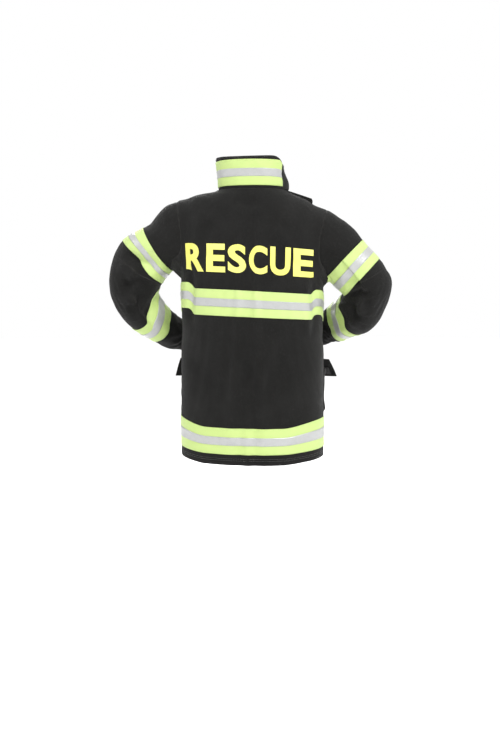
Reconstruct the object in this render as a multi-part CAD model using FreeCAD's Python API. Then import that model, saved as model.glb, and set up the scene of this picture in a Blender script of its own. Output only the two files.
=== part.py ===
import FreeCAD, Part

import math
import os

# A youth turnout coat on an unseen wearer, hands on hips. Millimetres.
# +Z is up, the coat's front faces -Y and its left side is +X.
# The origin is the centre of the neck seam, where the collar is sewn on.

V = FreeCAD.Vector

# ---- driving dimensions -------------------------------------------------

COAT_LENGTH = 543.0  # neck seam to hem
COLLAR_HEIGHT = 65.0
SHELL = 2.0  # outer shell cloth
LINER = 1.4  # lining cloth
PLY_GAP = 0.25  # air between two plies
SQUARENESS = 2.4  # exponent of the superellipse that the body's sections follow
SECTION_POINTS = 24

# height, half width, half depth, centre in Y, lean of the surface from vertical (degrees)
BODY_SECTIONS = [
    (-COAT_LENGTH - 20, 143, 95, 0, 0),
    (-400, 145, 95, 0, 0),
    (-260, 146, 95, 0, 0),
    (-171, 150, 95, 0, 0),
    (-112, 157, 91, 1, 5),
    (-60, 160, 82, 3, 25),
    (-34, 146, 75, 4, 58),
    (-15, 105, 67, 6, 66),
    (0, 67, 58, 8, 60),
]
NECK_PUNCH = (40, 67, 58, 8, 0)
COLLAR_SECTIONS = [
    (PLY_GAP, 67, 58, 8, 0),
    (COLLAR_HEIGHT / 2, 69, 60, 9, 0),
    (COLLAR_HEIGHT, 73, 63, 10, 0),
]

TAPE_WIDTH = 51.0
STRIPE_WIDTH = 16.0
TAPE = 0.7
STRIPE = 0.4
CHEST_TAPE_BOTTOM = -257.0
HEM_TAPE_BOTTOM = -COAT_LENGTH + 21.0
COLLAR_TAPE_BOTTOM = 7.0
COLLAR_TAPE_ENDS = (-30.0, 38.0)  # in Y: left end, and right end short of the collar's bare front wing

FRONT_GAP = 12.0  # between the two front edges, where the zip lies
SIDE_SEAM_Y = 0.0
SEAM_GAP = 0.3
FAR = 600.0

# sleeves: shoulder, elbow and wrist centres of the left side
SHOULDER = V(160, 5, -103)
ELBOW = V(237, -8, -208)
WRIST = V(131, -108, -297)
HEAD_RADIUS = 62.0
HEAD_OPENING = 20.0  # the sleeve head is open this far inwards of the shoulder
HEAD_GAP = 1.6
ARMPIT_RADIUS = 43.0
UPPER_MIDDLE = (90.0, 48.0)  # distance from the shoulder, radius
ELBOW_INNER = 47.0
ELBOW_GAP = 0.8
SLEEVE_WALL = 2.4
MITRE_OVERLAP = 8.0  # degrees
MITRE_GAP = 0.4
FOREARM = (56.0, 39.5)  # distance from the elbow, radius
LOWER_LINER_AT = 23.0  # the forearm's lining starts clear of the upper sleeve's ball
CUFF_RADIUS = 34.0
CUFF_LENGTH = 24.0
UPPER_TAPE_AT = 42.0
WRIST_TAPE_AT = 60.0

# storm flap over the zip
FLAP_HINGE_X = 26.0
FLAP_FREE_X = -36.0
FLAP_TOP = -20.0
FLAP_BOTTOM = -COAT_LENGTH + 8.0
FLAP_STAND_OFF = 5.6
FLAP = 2.0
CLOSURE_X = (-33.0, -13.0)

# zip
ZIP_TOP = -8.0
ZIP_BOTTOM = -COAT_LENGTH + 12.0
COIL_RADIUS = 1.2
COIL_X = 2.1
ZIP_TAPE_X = (3.6, 10.5)
ZIP_ROOM = 11.0
ZIP_STOP = (3.3, 1.6, 5.0)  # half width, half depth, height
SLIDER_LENGTH = 15.0
SLIDER_TOP = -178.0  # the front is straight below here
PULL_PIVOT = 3.5
PULL_LENGTH = 21.0
POST_RADIUS = 1.1

# pockets: bearing of the centre from the front (degrees), width, top, bottom, depth
HIP_POCKET = dict(bearing=38.0, width=92.0, top=-365.0, bottom=-464.0, depth=14.0)
HIP_FLAP = dict(length=45.0, flare=40.0, lift=20.0)
RADIO_POCKET = dict(bearing=24.0, width=50.0, top=-122.0, bottom=-198.0, depth=14.0)
RADIO_FLAP = dict(length=30.0, flare=48.0, lift=16.0)

FLAP_ROOT_OUT = 1.8  # hinge line of a pocket flap, outwards of the cloth
FLAP_BEYOND = 2.0  # the flap is wider than its pocket by this on each side
POCKET_FLAP = 1.8  # thickness
HOOK_INSET = (12.0, 6.0)  # hook patch from the flap's sides and free edge
HOOK_HEIGHT = 16.0
LOOP_INSET = 14.0  # loop patch from the pocket's sides
LOOP_BELOW = (24.0, 4.0)  # loop patch's edges below the pocket's top
POCKET_REACH = 60.0
POCKET_WALL = 2.0
PATCH = 1.2  # hook-and-loop tape

# throat tab, folded back over the right shoulder
TAB_ROOT = V(-16, -53.2, 14.5)
TAB_LENGTH = 111.0
TAB_WIDTH = 24.0
TAB_SLOPE = 19.0  # degrees below level
TAB = 2.4
TAB_HOOK_INSET = 5.0  # hook patch from the tab's end and sides, and its length
TAB_HOOK_SIDE = 4.0
TAB_HOOK_LENGTH = 30.0
COLLAR_PATCH_X = (24.0, 48.0)
COLLAR_PATCH_Z = (6.0, 26.0)

# hanging loop inside the back of the collar
LOOP_HALF = 25.0
LOOP_Z = (12.0, 20.0)
LOOP_Y = (53.0, 59.3)
LOOP_END = 4.0
LOOP_THICK = 1.5

# lettering on the back, a generic word in block capitals
WORD = "RESCUE"
LETTER_HEIGHT = 57.0
LETTER_WIDTH = 34.0
LETTER_PITCH = 42.0
LETTERS_Z = -142.0
LETTER_PLY = 0.6

os.makedirs("parts", exist_ok=True)


# ---- helpers --------------------------------------------------------------


def save(node, solids):
    """Writes one node's solids to its STEP file."""
    shape = solids[0] if len(solids) == 1 else Part.makeCompound(solids)
    shape.exportStep(f"parts/{node}.step")
    print(node, len(solids), round(sum(s.Volume for s in solids) / 1000, 2), "cm3")


def solids_of(shape, smallest=1.0):
    """The solids of a Boolean's result, without crumbs."""
    return [s for s in shape.Solids if s.Volume > smallest]


def box(low, high):
    """A box between two corners, each three numbers."""
    size = [h - l for l, h in zip(low, high)]
    return Part.makeBox(*size, V(*low))


def mirrored(shape):
    """The same shape on the coat's right side."""
    return shape.mirror(V(0, 0, 0), V(1, 0, 0))


def section_wire(height, half_width, half_depth, centre_y, lean, offset):
    """A closed superellipse section of the body, moved out by offset along its surface's normal."""
    out = offset * math.cos(math.radians(lean))
    up = offset * math.sin(math.radians(lean))
    points = []
    for i in range(SECTION_POINTS):
        a = 2 * math.pi * i / SECTION_POINTS
        c, s = math.cos(a), math.sin(a)
        x = (half_width + out) * math.copysign(abs(c) ** (2 / SQUARENESS), c)
        y = (half_depth + out) * math.copysign(abs(s) ** (2 / SQUARENESS), s)
        points.append(V(x, centre_y + y, height + up))
    curve = Part.BSplineCurve()
    curve.interpolate(Points=points, PeriodicFlag=True)
    return Part.Wire([curve.toShape()])


def lofted(sections, offset):
    """A closed solid through the sections, moved out by offset."""
    wires = [section_wire(*s, offset) for s in sections]
    return Part.makeLoft(wires, True, True)


def body_solid(offset, open_neck=False):
    """The body's volume; open_neck runs it up through the neck, for cutting."""
    return lofted(BODY_SECTIONS + [NECK_PUNCH] * open_neck, offset)


def body_layer(inner, outer):
    """A layer of cloth between two offsets from the body's surface, over its whole length."""
    layer = body_solid(outer).cut(body_solid(inner, True))
    return layer.common(box((-FAR, -FAR, -COAT_LENGTH), (FAR, FAR, FAR)))


def band(bottom, height):
    return box((-FAR, -FAR, bottom), (FAR, FAR, bottom + height))


def stripe_bottom(tape_bottom):
    return tape_bottom + (TAPE_WIDTH - STRIPE_WIDTH) / 2


# ---- body panels ------------------------------------------------------------

def armhole():
    """Room in the body for the left sleeve's head."""
    return Part.makeSphere(HEAD_RADIUS + HEAD_GAP, SHOULDER)


ARMHOLES = [armhole(), mirrored(armhole())]


def without_armholes(shape):
    return shape.cut(ARMHOLES[0]).cut(ARMHOLES[1])


BACK = box((-FAR, SIDE_SEAM_Y + SEAM_GAP / 2, -FAR), (FAR, FAR, FAR))
FRONT_LEFT = box((FRONT_GAP / 2, -FAR, -FAR), (FAR, SIDE_SEAM_Y - SEAM_GAP / 2, FAR))
FRONT_RIGHT = box((-FAR, -FAR, -FAR), (-FRONT_GAP / 2, SIDE_SEAM_Y - SEAM_GAP / 2, FAR))
ZIP_SLOT = box((-FRONT_GAP / 2, -FAR, -FAR), (FRONT_GAP / 2, SIDE_SEAM_Y, FAR))


def make_body():
    shell = without_armholes(body_layer(-SHELL, 0.0))
    save("back_panel", solids_of(shell.common(BACK)))
    save("front_panel_left", solids_of(shell.common(FRONT_LEFT)))
    save("front_panel_right", solids_of(shell.common(FRONT_RIGHT)))
    inner = -SHELL - PLY_GAP
    liner = without_armholes(body_layer(inner - LINER, inner))
    zip_room = box((-ZIP_ROOM, -FAR, -FAR), (ZIP_ROOM, SIDE_SEAM_Y, FAR))
    save("body_liner", solids_of(liner.cut(zip_room)))


# ---- collar -----------------------------------------------------------------


def collar_layer(inner, outer):
    low, high = COLLAR_SECTIONS[0], COLLAR_SECTIONS[-1]
    under = (low[0] - 5,) + low[1:]
    over = (high[0] + 5,) + high[1:]
    punch = [under] + COLLAR_SECTIONS + [over]
    return lofted(COLLAR_SECTIONS, outer).cut(lofted(punch, inner))


def make_collar():
    slot = box((-FRONT_GAP / 2, -FAR, -FAR), (FRONT_GAP / 2, 0, FAR))
    save("collar_shell", solids_of(collar_layer(-SHELL, 0).cut(slot)))
    inner = -SHELL - PLY_GAP
    save("collar_lining", solids_of(collar_layer(inner - LINER, inner).cut(slot)))
    left_end, right_end = COLLAR_TAPE_ENDS
    ends = [box((0, -FAR, -FAR), (FAR, left_end, FAR)), box((-FAR, -FAR, -FAR), (0, right_end, FAR))]
    low = PLY_GAP
    tape = collar_layer(low, low + TAPE).cut(ends)
    save("collar_tape", solids_of(tape.common(band(COLLAR_TAPE_BOTTOM, TAPE_WIDTH))))
    low += TAPE + PLY_GAP
    stripe = collar_layer(low, low + STRIPE).cut(ends)
    bottom = stripe_bottom(COLLAR_TAPE_BOTTOM)
    save("collar_stripe", solids_of(stripe.common(band(bottom, STRIPE_WIDTH))))


# ---- reflective tape on the body ----------------------------------------------


def body_tape(name, bottom):
    """One lime tape with a silver stripe, in three lengths: back, left front and right front."""
    under_flap = box((FLAP_FREE_X - 1, -FAR, -FAR), (FLAP_HINGE_X + 9, 0, FAR))
    low = PLY_GAP
    for node, height, start, ply in (
        (f"{name}_tape", TAPE_WIDTH, bottom, TAPE),
        (f"{name}_stripe", STRIPE_WIDTH, stripe_bottom(bottom), STRIPE),
    ):
        ring = body_layer(low, low + ply).common(band(start, height)).cut(under_flap)
        lengths = [ring.common(part) for part in (BACK, FRONT_LEFT, FRONT_RIGHT)]
        save(node, [s for length in lengths for s in solids_of(length)])
        low += ply + PLY_GAP


# ---- lettering ----------------------------------------------------------------

# Strokes of each letter on a grid of 3 by 5 strokes: left, bottom, right, top.
STROKES = {
    "R": [(0, 0, 1, 5), (0, 4, 3, 5), (2, 2, 3, 5), (0, 2, 3, 3)],
    "E": [(0, 0, 1, 5), (0, 4, 3, 5), (0, 2, 2.6, 3), (0, 0, 3, 1)],
    "S": [(0, 4, 3, 5), (0, 2, 1, 5), (0, 2, 3, 3), (2, 0, 3, 3), (0, 0, 3, 1)],
    "C": [(0, 0, 1, 5), (0, 4, 3, 5), (0, 0, 3, 1), (2, 3.4, 3, 5), (2, 0, 3, 1.6)],
    "U": [(0, 0, 1, 5), (2, 0, 3, 5), (0, 0, 3, 1)],
}
# Corners that are cut off at 45 degrees, and the leg of the R.
CUT_CORNERS = {
    "R": [(3, 5), (3, 2)],
    "E": [],
    "S": [(0, 5), (3, 5), (0, 2), (3, 3), (0, 0), (3, 0)],
    "C": [(0, 5), (3, 5), (0, 0), (3, 0)],
    "U": [(0, 0), (3, 0)],
}
LEG = [(1.1, 2.2), (2.3, 2.2), (3.1, 0), (1.9, 0)]
CORNER_CUT = 0.55


def prism(points):
    """A prism along Y over an outline of (x, z) points, behind the coat."""
    ring = [V(x, 20, z) for x, z in points]
    face = Part.Face(Part.makePolygon(ring + ring[:1]))
    return face.extrude(V(0, FAR, 0))


def letter_prism(letter, left):
    """One letter's outline as a prism; left is its left edge as seen from behind."""
    wide, high = LETTER_WIDTH / 3, LETTER_HEIGHT / 5
    low = LETTERS_Z - LETTER_HEIGHT / 2

    def at(u, v):
        return (left - u * wide, low + v * high)

    shape = None
    for u0, v0, u1, v1 in STROKES[letter]:
        bar = prism([at(u0, v0), at(u1, v0), at(u1, v1), at(u0, v1)])
        shape = bar if shape is None else shape.fuse(bar)
    if letter == "R":
        shape = shape.fuse(prism([at(*p) for p in LEG]))
    for u, v in CUT_CORNERS[letter]:
        du = CORNER_CUT if u == 0 else -CORNER_CUT
        dv = CORNER_CUT if v in (0, 2) else -CORNER_CUT
        shape = shape.cut(prism([at(u, v), at(u + du, v), at(u, v + dv)]))
    return shape


def make_letters():
    ply = body_layer(PLY_GAP, PLY_GAP + LETTER_PLY)
    width = LETTER_PITCH * (len(WORD) - 1) + LETTER_WIDTH
    letters = []
    for i, letter in enumerate(WORD):
        left = width / 2 - i * LETTER_PITCH
        letters += solids_of(letter_prism(letter, left).common(ply).removeSplitter())
    save("back_letters", letters)


# ---- sleeves ------------------------------------------------------------------


def frame_of(origin, along, across):
    """A placement with X along the sleeve and Y towards the side given by across."""
    x = V(along).normalize()
    y = (across - x * across.dot(x)).normalize()
    return FreeCAD.Placement(origin, FreeCAD.Rotation(x, y, V(0, 0, 1), "XYZ"))


UPPER = ELBOW - SHOULDER
LOWER = WRIST - ELBOW
UPPER_LENGTH = UPPER.Length
LOWER_LENGTH = LOWER.Length
BEND_AXIS = LOWER.cross(UPPER).normalize()
ELBOW_OUTER = ELBOW_INNER + ELBOW_GAP + SLEEVE_WALL


def revolved(profile, origin, along):
    """A solid of revolution about the line along, from (distance along, radius) points;
    a third value on a point is a point on the arc that leads to it."""
    edges = []
    for before, now in zip(profile, profile[1:] + profile[:1]):
        a, b = V(*before[:2], 0), V(*now[:2], 0)
        if len(now) > 2:
            edges.append(Part.Arc(a, V(*now[2], 0), b).toShape())
        else:
            edges.append(Part.makeLine(a, b))
    face = Part.Face(Part.Wire(edges))
    solid = face.revolve(V(0, 0, 0), V(1, 0, 0), 360)
    solid.Placement = frame_of(origin, along, BEND_AXIS)
    return solid


def on_sphere(radius, x):
    return (x, math.sqrt(radius * radius - x * x))


def upper_profile(shrink):
    """Outline of the upper sleeve, shrunk inwards: head sphere, neck at the armpit, elbow sphere."""
    head = HEAD_RADIUS - shrink
    neck = ARMPIT_RADIUS - shrink
    ball = ELBOW_INNER - shrink
    back = -HEAD_RADIUS * 0.8
    reach = math.sqrt(head * head - neck * neck)
    end = UPPER_LENGTH + ball * 0.86
    return [
        (back, 0),
        on_sphere(head, back),
        (reach, neck, on_sphere(head, 0)),
        (UPPER_MIDDLE[0], UPPER_MIDDLE[1] - shrink),
        (UPPER_LENGTH, ball),
        (end, ball * math.sqrt(1 - 0.86**2), (UPPER_LENGTH + ball * 0.5, ball * math.sqrt(0.75))),
        (end, 0),
    ]


def lower_profile(shrink):
    """Outline of the forearm: elbow sphere and a taper to the wrist."""
    ball = ELBOW_OUTER - shrink
    cuff = CUFF_RADIUS - shrink
    back = -ball * 0.9
    start, radius = FOREARM[0], FOREARM[1] - shrink
    touch = math.atan2(radius, start) + math.acos(ball / math.hypot(start, radius))
    return [
        (back, 0),
        on_sphere(ball, back),
        (*on_sphere(ball, ball * math.cos(touch)), on_sphere(ball, back / 2)),
        (start, radius),
        (LOWER_LENGTH - CUFF_LENGTH, cuff),
        (LOWER_LENGTH, cuff),
        (LOWER_LENGTH, 0),
    ]


def half_space(point, normal):
    """A large box on the side of a plane that its normal points to."""
    block = Part.makeBox(2 * FAR, 2 * FAR, FAR, V(-FAR, -FAR, 0))
    turn = FreeCAD.Rotation(V(0, 0, 1), V(normal).normalize())
    block.Placement = FreeCAD.Placement(point, turn)
    return block


def turned(vector, axis, degrees):
    return FreeCAD.Rotation(axis, degrees).multVec(vector)


MITRE = (UPPER.normalize() + LOWER.normalize()).normalize()
UPPER = ELBOW - SHOULDER
LOWER = WRIST - ELBOW


def upper_tube(outer, inner):
    """The upper sleeve's wall between two depths, cut open at the armhole and the elbow."""
    tube = revolved(upper_profile(outer), SHOULDER, UPPER)
    tube = tube.cut(revolved(upper_profile(inner), SHOULDER, UPPER))
    tube = tube.cut(half_space(SHOULDER + V(-HEAD_OPENING, 0, 0), V(-1, 0, 0)))
    end = turned(MITRE, BEND_AXIS, -MITRE_OVERLAP)
    return tube.cut(half_space(ELBOW, end))


def lower_tube(outer, inner):
    """The forearm's wall between two depths, cut open at the elbow."""
    tube = revolved(lower_profile(outer), ELBOW, LOWER)
    tube = tube.cut(revolved(lower_profile(inner), ELBOW, LOWER))
    return tube.cut(half_space(ELBOW + MITRE * MITRE_GAP, MITRE * -1))


def slab(origin, along, start, length):
    """The space between two planes across a sleeve."""
    start_plane = half_space(origin + V(along).normalize() * start, along)
    end_plane = half_space(origin + V(along).normalize() * (start + length), along)
    return start_plane.cut(end_plane)


def both_sides(name, solids):
    save(f"{name}_left", solids)
    save(f"{name}_right", [mirrored(s) for s in solids])


def make_sleeves():
    cuff_start = LOWER_LENGTH - CUFF_LENGTH
    cuff_space = slab(ELBOW, LOWER, cuff_start, CUFF_LENGTH + 30)
    both_sides("upper_sleeve", solids_of(upper_tube(0, SLEEVE_WALL)))
    lower = lower_tube(0, SLEEVE_WALL)
    both_sides("forearm_sleeve", solids_of(lower.cut(slab(ELBOW, LOWER, cuff_start - 0.3, 90))))
    both_sides("sleeve_cuff", solids_of(lower.common(cuff_space)))
    inner = SLEEVE_WALL + PLY_GAP
    liner = upper_tube(inner, inner + LINER)
    both_sides("upper_sleeve_liner", solids_of(liner))
    lined = slab(ELBOW, LOWER, LOWER_LINER_AT, cuff_start - 4 - LOWER_LINER_AT)
    both_sides("forearm_liner", solids_of(lower_tube(inner, inner + LINER).common(lined)))
    for place, tube, origin, along, start in (
        ("upper_sleeve", upper_tube, SHOULDER, UPPER, UPPER_TAPE_AT),
        ("wrist", lower_tube, ELBOW, LOWER, WRIST_TAPE_AT),
    ):
        tape = tube(-PLY_GAP - TAPE, -PLY_GAP)
        both_sides(f"{place}_tape", solids_of(tape.common(slab(origin, along, start, TAPE_WIDTH))))
        low = 2 * PLY_GAP + TAPE
        stripe = tube(-low - STRIPE, -low)
        room = slab(origin, along, stripe_bottom(start), STRIPE_WIDTH)
        both_sides(f"{place}_stripe", solids_of(stripe.common(room)))


# ---- storm flap and zip ---------------------------------------------------------


def make_storm_flap():
    flap_low = FLAP_STAND_OFF
    flap_top = flap_low + FLAP
    space = box((FLAP_FREE_X, -FAR, FLAP_BOTTOM), (FLAP_HINGE_X, 0, FLAP_TOP))
    tape_space = box((FLAP_FREE_X, -FAR, FLAP_BOTTOM), (FLAP_HINGE_X - 4, 0, FLAP_TOP))
    save("storm_flap", solids_of(body_layer(flap_low, flap_top).common(space)))
    root = box((FLAP_HINGE_X + 0.6, -FAR, FLAP_BOTTOM), (FLAP_HINGE_X + 7, 0, FLAP_TOP))
    save("flap_placket", solids_of(body_layer(PLY_GAP, flap_top).common(root)))
    strip = box((CLOSURE_X[0], -FAR, FLAP_BOTTOM + 8), (CLOSURE_X[1], 0, FLAP_TOP - 30))
    save("front_loop_strip", solids_of(body_layer(PLY_GAP, 2.4).common(strip)))
    save("flap_hook_strip", solids_of(body_layer(2.8, flap_low - PLY_GAP).common(strip)))
    for node, height, key, low, ply in (
        ("flap_tapes", TAPE_WIDTH, 0, flap_top + PLY_GAP, TAPE),
        ("flap_stripes", STRIPE_WIDTH, 1, flap_top + 2 * PLY_GAP + TAPE, STRIPE),
    ):
        pieces = []
        for bottom in (CHEST_TAPE_BOTTOM, HEM_TAPE_BOTTOM):
            start = stripe_bottom(bottom) if key else bottom
            layer = body_layer(low, low + ply).common(band(start, height))
            pieces += solids_of(layer.common(tape_space))
        save(node, pieces)


def make_zip():
    depth = SHELL + PLY_GAP
    height = (ZIP_BOTTOM, ZIP_TOP)
    low_tape, high_tape = -depth - 0.6, -depth
    tape_layer = body_layer(low_tape, high_tape)
    for name, side in (("left", 1), ("right", -1)):
        xs = sorted(side * x for x in ZIP_TAPE_X)
        strip = box((xs[0], -FAR, height[0]), (xs[1], 0, height[1]))
        save(f"zip_tape_{name}", solids_of(tape_layer.common(strip)))
        save(f"zip_coil_{name}", [zip_coil(side)])
    y = zip_y(ZIP_BOTTOM)
    half, deep, tall = ZIP_STOP
    stop = box((-half, y - deep, ZIP_BOTTOM - tall), (half, y + deep, ZIP_BOTTOM - SEAM_GAP))
    save("zip_bottom_stop", [stop])


def zip_line():
    """The zip's path down the middle of the front: the straight runs of the body's sections."""
    points = []
    for height, _, depth, centre, lean in BODY_SECTIONS:
        inward = SHELL + PLY_GAP + 0.3
        out = -inward * math.cos(math.radians(lean))
        up = -inward * math.sin(math.radians(lean))
        points.append((height + up, centre - depth - out))
    return points


def zip_y(z):
    points = zip_line()
    for (z0, y0), (z1, y1) in zip(points, points[1:]):
        if z0 <= z <= z1:
            return y0 + (y1 - y0) * (z - z0) / (z1 - z0)
    raise ValueError(z)


def zip_coil(side):
    """One side's coil as a plain rod that follows the front's profile."""
    heights = [ZIP_BOTTOM] + [z for z, _ in zip_line() if ZIP_BOTTOM < z < ZIP_TOP] + [ZIP_TOP]
    points = [V(side * COIL_X, zip_y(z), z) for z in heights]
    path = Part.makePolygon(points)
    circle = Part.Circle(points[0], points[1] - points[0], COIL_RADIUS)
    rod = path.makePipeShell([Part.Wire([circle.toShape()])], True, True, 1)
    return rod


def make_slider():
    """Slider at its highest place on the straight part of the zip, with its pull tab."""
    z = SLIDER_TOP - SLIDER_LENGTH
    y = zip_y(z)
    half = COIL_X + COIL_RADIUS + 1.6
    room = COIL_RADIUS + 0.5
    front = box((-half, y - room - 1.2, z), (half, y - room, SLIDER_TOP))
    back = box((-half, y + room, z), (half, y + room + 1.2, SLIDER_TOP))
    web = box((-0.45, y - room, SLIDER_TOP - 5), (0.45, y + room, SLIDER_TOP))
    pivot = SLIDER_TOP - PULL_PIVOT
    post = Part.makeCylinder(POST_RADIUS, 1.5, V(0, y - room - 2.7, pivot), V(0, 1, 0))
    save("zip_slider", [front.fuse([back, web, post]).removeSplitter()])
    plate = box((-3.4, y - room - 2.7, SLIDER_TOP - PULL_LENGTH), (3.4, y - room - 1.6, SLIDER_TOP))
    hole = Part.makeCylinder(POST_RADIUS + 0.4, FAR, V(0, 0, pivot), V(0, -1, 0))
    save("zip_pull", [plate.cut(hole)])


# ---- pockets ------------------------------------------------------------------


def surface_point(bearing):
    """Point and outward direction on the body's middle section at a bearing from the front."""
    _, width, depth, centre, _ = BODY_SECTIONS[2]
    a = math.radians(bearing)
    out = V(math.sin(a), -math.cos(a), 0)
    power = SQUARENESS / (SQUARENESS - 1)
    x = abs(width * out.x) ** power
    y = abs(depth * out.y) ** power
    scale = (x + y) ** (1 / power)
    px = width * (abs(width * out.x) / scale) ** (1 / (SQUARENESS - 1))
    py = depth * (abs(depth * out.y) / scale) ** (1 / (SQUARENESS - 1))
    return V(px, centre - py, 0), out


def local_box(bearing, across, outward, heights):
    """A box at the pocket's place: across and outward are ranges from the surface point."""
    point, out = surface_point(bearing)
    block = box((across[0], outward[0], heights[0]), (across[1], outward[1], heights[1]))
    side = V(0, 0, 1).cross(out) * -1
    turn = FreeCAD.Rotation(side, out, V(0, 0, 1), "XYZ")
    block.Placement = FreeCAD.Placement(point, turn)
    return block


def make_pocket(bearing, width, top, bottom, depth):
    """A pocket's bag, open at the top, and the loop patch on its face."""
    half, wall = width / 2, POCKET_WALL
    reach = (-POCKET_REACH, POCKET_REACH)
    outside = local_box(bearing, (-half, half), reach, (bottom, top))
    inside = local_box(bearing, (wall - half, half - wall), reach, (bottom + wall, top + 5))
    inside = inside.common(body_solid(depth - wall)).cut(body_solid(PLY_GAP + wall))
    bag = outside.common(body_layer(PLY_GAP, depth)).cut(inside)
    heights = (top - LOOP_BELOW[0], top - LOOP_BELOW[1])
    patch = local_box(bearing, (LOOP_INSET - half, half - LOOP_INSET), reach, heights)
    strip = patch.common(body_layer(depth + PLY_GAP, depth + PLY_GAP + PATCH))
    return solids_of(bag), solids_of(strip)


def make_flap(bearing, width, root, length, flare):
    """A pocket flap: a plate that hangs from its root and stands out at the flare angle."""
    point, out = surface_point(bearing)
    side = V(0, 0, 1).cross(out) * -1
    half = width / 2 + FLAP_BEYOND
    axis_point = V(point.x, point.y, root) + out * FLAP_ROOT_OUT
    face = POCKET_FLAP / 2
    plate = box((-half, -face, -length), (half, face, 0))
    hook_bottom = HOOK_INSET[1] - length
    hook = box(
        (HOOK_INSET[0] - half, -face - PLY_GAP - PATCH, hook_bottom),
        (half - HOOK_INSET[0], -face - PLY_GAP, hook_bottom + HOOK_HEIGHT),
    )
    turn = FreeCAD.Rotation(side, out, V(0, 0, 1), "XYZ")
    swing = FreeCAD.Rotation(V(1, 0, 0), flare)
    for piece in (plate, hook):
        piece.Placement = FreeCAD.Placement(axis_point, turn.multiply(swing))
    return plate, hook


def make_pockets():
    bag, strip = make_pocket(**HIP_POCKET)
    both_sides("hip_pocket", bag)
    both_sides("hip_pocket_loop", strip)
    root = HIP_POCKET["top"] + HIP_FLAP["lift"]
    plate, hook = make_flap(
        HIP_POCKET["bearing"], HIP_POCKET["width"], root, HIP_FLAP["length"], HIP_FLAP["flare"]
    )
    both_sides("hip_flap", [plate])
    both_sides("hip_flap_hook", [hook])
    bag, strip = make_pocket(**RADIO_POCKET)
    save("radio_pocket", bag)
    save("radio_pocket_loop", strip)
    root = RADIO_POCKET["top"] + RADIO_FLAP["lift"]
    plate, hook = make_flap(
        RADIO_POCKET["bearing"], RADIO_POCKET["width"], root, RADIO_FLAP["length"], RADIO_FLAP["flare"]
    )
    save("radio_flap", [plate])
    save("radio_flap_hook", [hook])


# ---- throat tab and hanging loop --------------------------------------------------


def make_throat_tab():
    half = TAB_WIDTH / 2
    tab = box((-TAB_LENGTH, -TAB / 2, -half), (half, TAB / 2, half))
    face = -TAB / 2 - PLY_GAP
    start = TAB_HOOK_INSET - TAB_LENGTH
    side = half - TAB_HOOK_SIDE
    hook = box((start, face - PATCH, -side), (start + TAB_HOOK_LENGTH, face, side))
    place = FreeCAD.Placement(TAB_ROOT, FreeCAD.Rotation(V(0, 1, 0), -TAB_SLOPE))
    past_root = box((TAB_ROOT.x, -FAR, -FAR), (FAR, FAR, FAR))
    for node, piece in (("throat_tab", tab), ("throat_tab_hook", hook)):
        piece.Placement = place
        save(node, [piece.cut(past_root)])
    patch = box((COLLAR_PATCH_X[0], -FAR, COLLAR_PATCH_Z[0]), (COLLAR_PATCH_X[1], 0, COLLAR_PATCH_Z[1]))
    ply = collar_layer(PLY_GAP, PLY_GAP + PATCH)
    save("collar_loop_patch", solids_of(ply.common(patch)))


def make_hang_loop():
    strap = box((-LOOP_HALF, LOOP_Y[0], LOOP_Z[0]), (LOOP_HALF, LOOP_Y[1], LOOP_Z[1]))
    room = box((LOOP_END - LOOP_HALF, LOOP_Y[0] + LOOP_THICK, 0), (LOOP_HALF - LOOP_END, FAR, FAR))
    save("hang_loop", [strap.cut(room)])


make_body()
make_collar()
body_tape("chest", CHEST_TAPE_BOTTOM)
body_tape("hem", HEM_TAPE_BOTTOM)
make_letters()
make_sleeves()
make_storm_flap()
make_zip()
make_slider()
make_pockets()
make_throat_tab()
make_hang_loop()
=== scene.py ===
import math

import bmesh
import bpy
import numpy as np
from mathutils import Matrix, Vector, interpolate, noise
from mathutils.bvhtree import BVHTree


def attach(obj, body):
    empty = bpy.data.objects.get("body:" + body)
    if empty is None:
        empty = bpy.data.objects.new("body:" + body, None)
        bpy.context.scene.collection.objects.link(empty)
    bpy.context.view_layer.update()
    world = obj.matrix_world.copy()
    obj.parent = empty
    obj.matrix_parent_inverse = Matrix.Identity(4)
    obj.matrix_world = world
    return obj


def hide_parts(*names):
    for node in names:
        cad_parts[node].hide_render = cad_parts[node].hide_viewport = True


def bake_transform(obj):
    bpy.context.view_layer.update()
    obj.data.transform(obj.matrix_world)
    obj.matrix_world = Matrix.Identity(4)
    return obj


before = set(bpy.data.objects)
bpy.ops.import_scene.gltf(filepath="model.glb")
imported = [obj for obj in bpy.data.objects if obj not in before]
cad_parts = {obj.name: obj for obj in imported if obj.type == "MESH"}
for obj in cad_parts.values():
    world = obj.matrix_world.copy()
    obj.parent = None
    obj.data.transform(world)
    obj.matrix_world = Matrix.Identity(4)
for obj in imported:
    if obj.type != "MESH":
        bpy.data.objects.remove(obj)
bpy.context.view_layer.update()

# Shapes are worked out in millimetres and scaled to metres when a mesh is written.
MM = 0.001

# ---------------------------------------------------------------- base surface

SQUARENESS = 2.4
HEM = -543.0
VOXEL = 6.5
# height, half width, half depth, centre in Y
BODY_ROWS = [
    (-575, 143, 95, 0), (-520, 143.5, 95, 0), (-460, 144, 95, 0), (-400, 145, 95, 0),
    (-330, 146.5, 95, 0), (-260, 147.5, 95, 0), (-215, 149, 95, 0), (-171, 150, 94.5, 0.3),
    (-140, 152, 93, 0.8), (-112, 154, 90.5, 1), (-84, 153, 86.5, 2), (-60, 149, 81.5, 3),
    (-44, 142, 77.5, 3.5), (-32, 131, 74, 4), (-23, 118, 71, 5), (-15, 101, 67, 6),
    (-7, 83, 62.5, 7), (0, 67, 58, 8), (14, 66, 57, 8), (34, 66, 57, 8.5),
]
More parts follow.
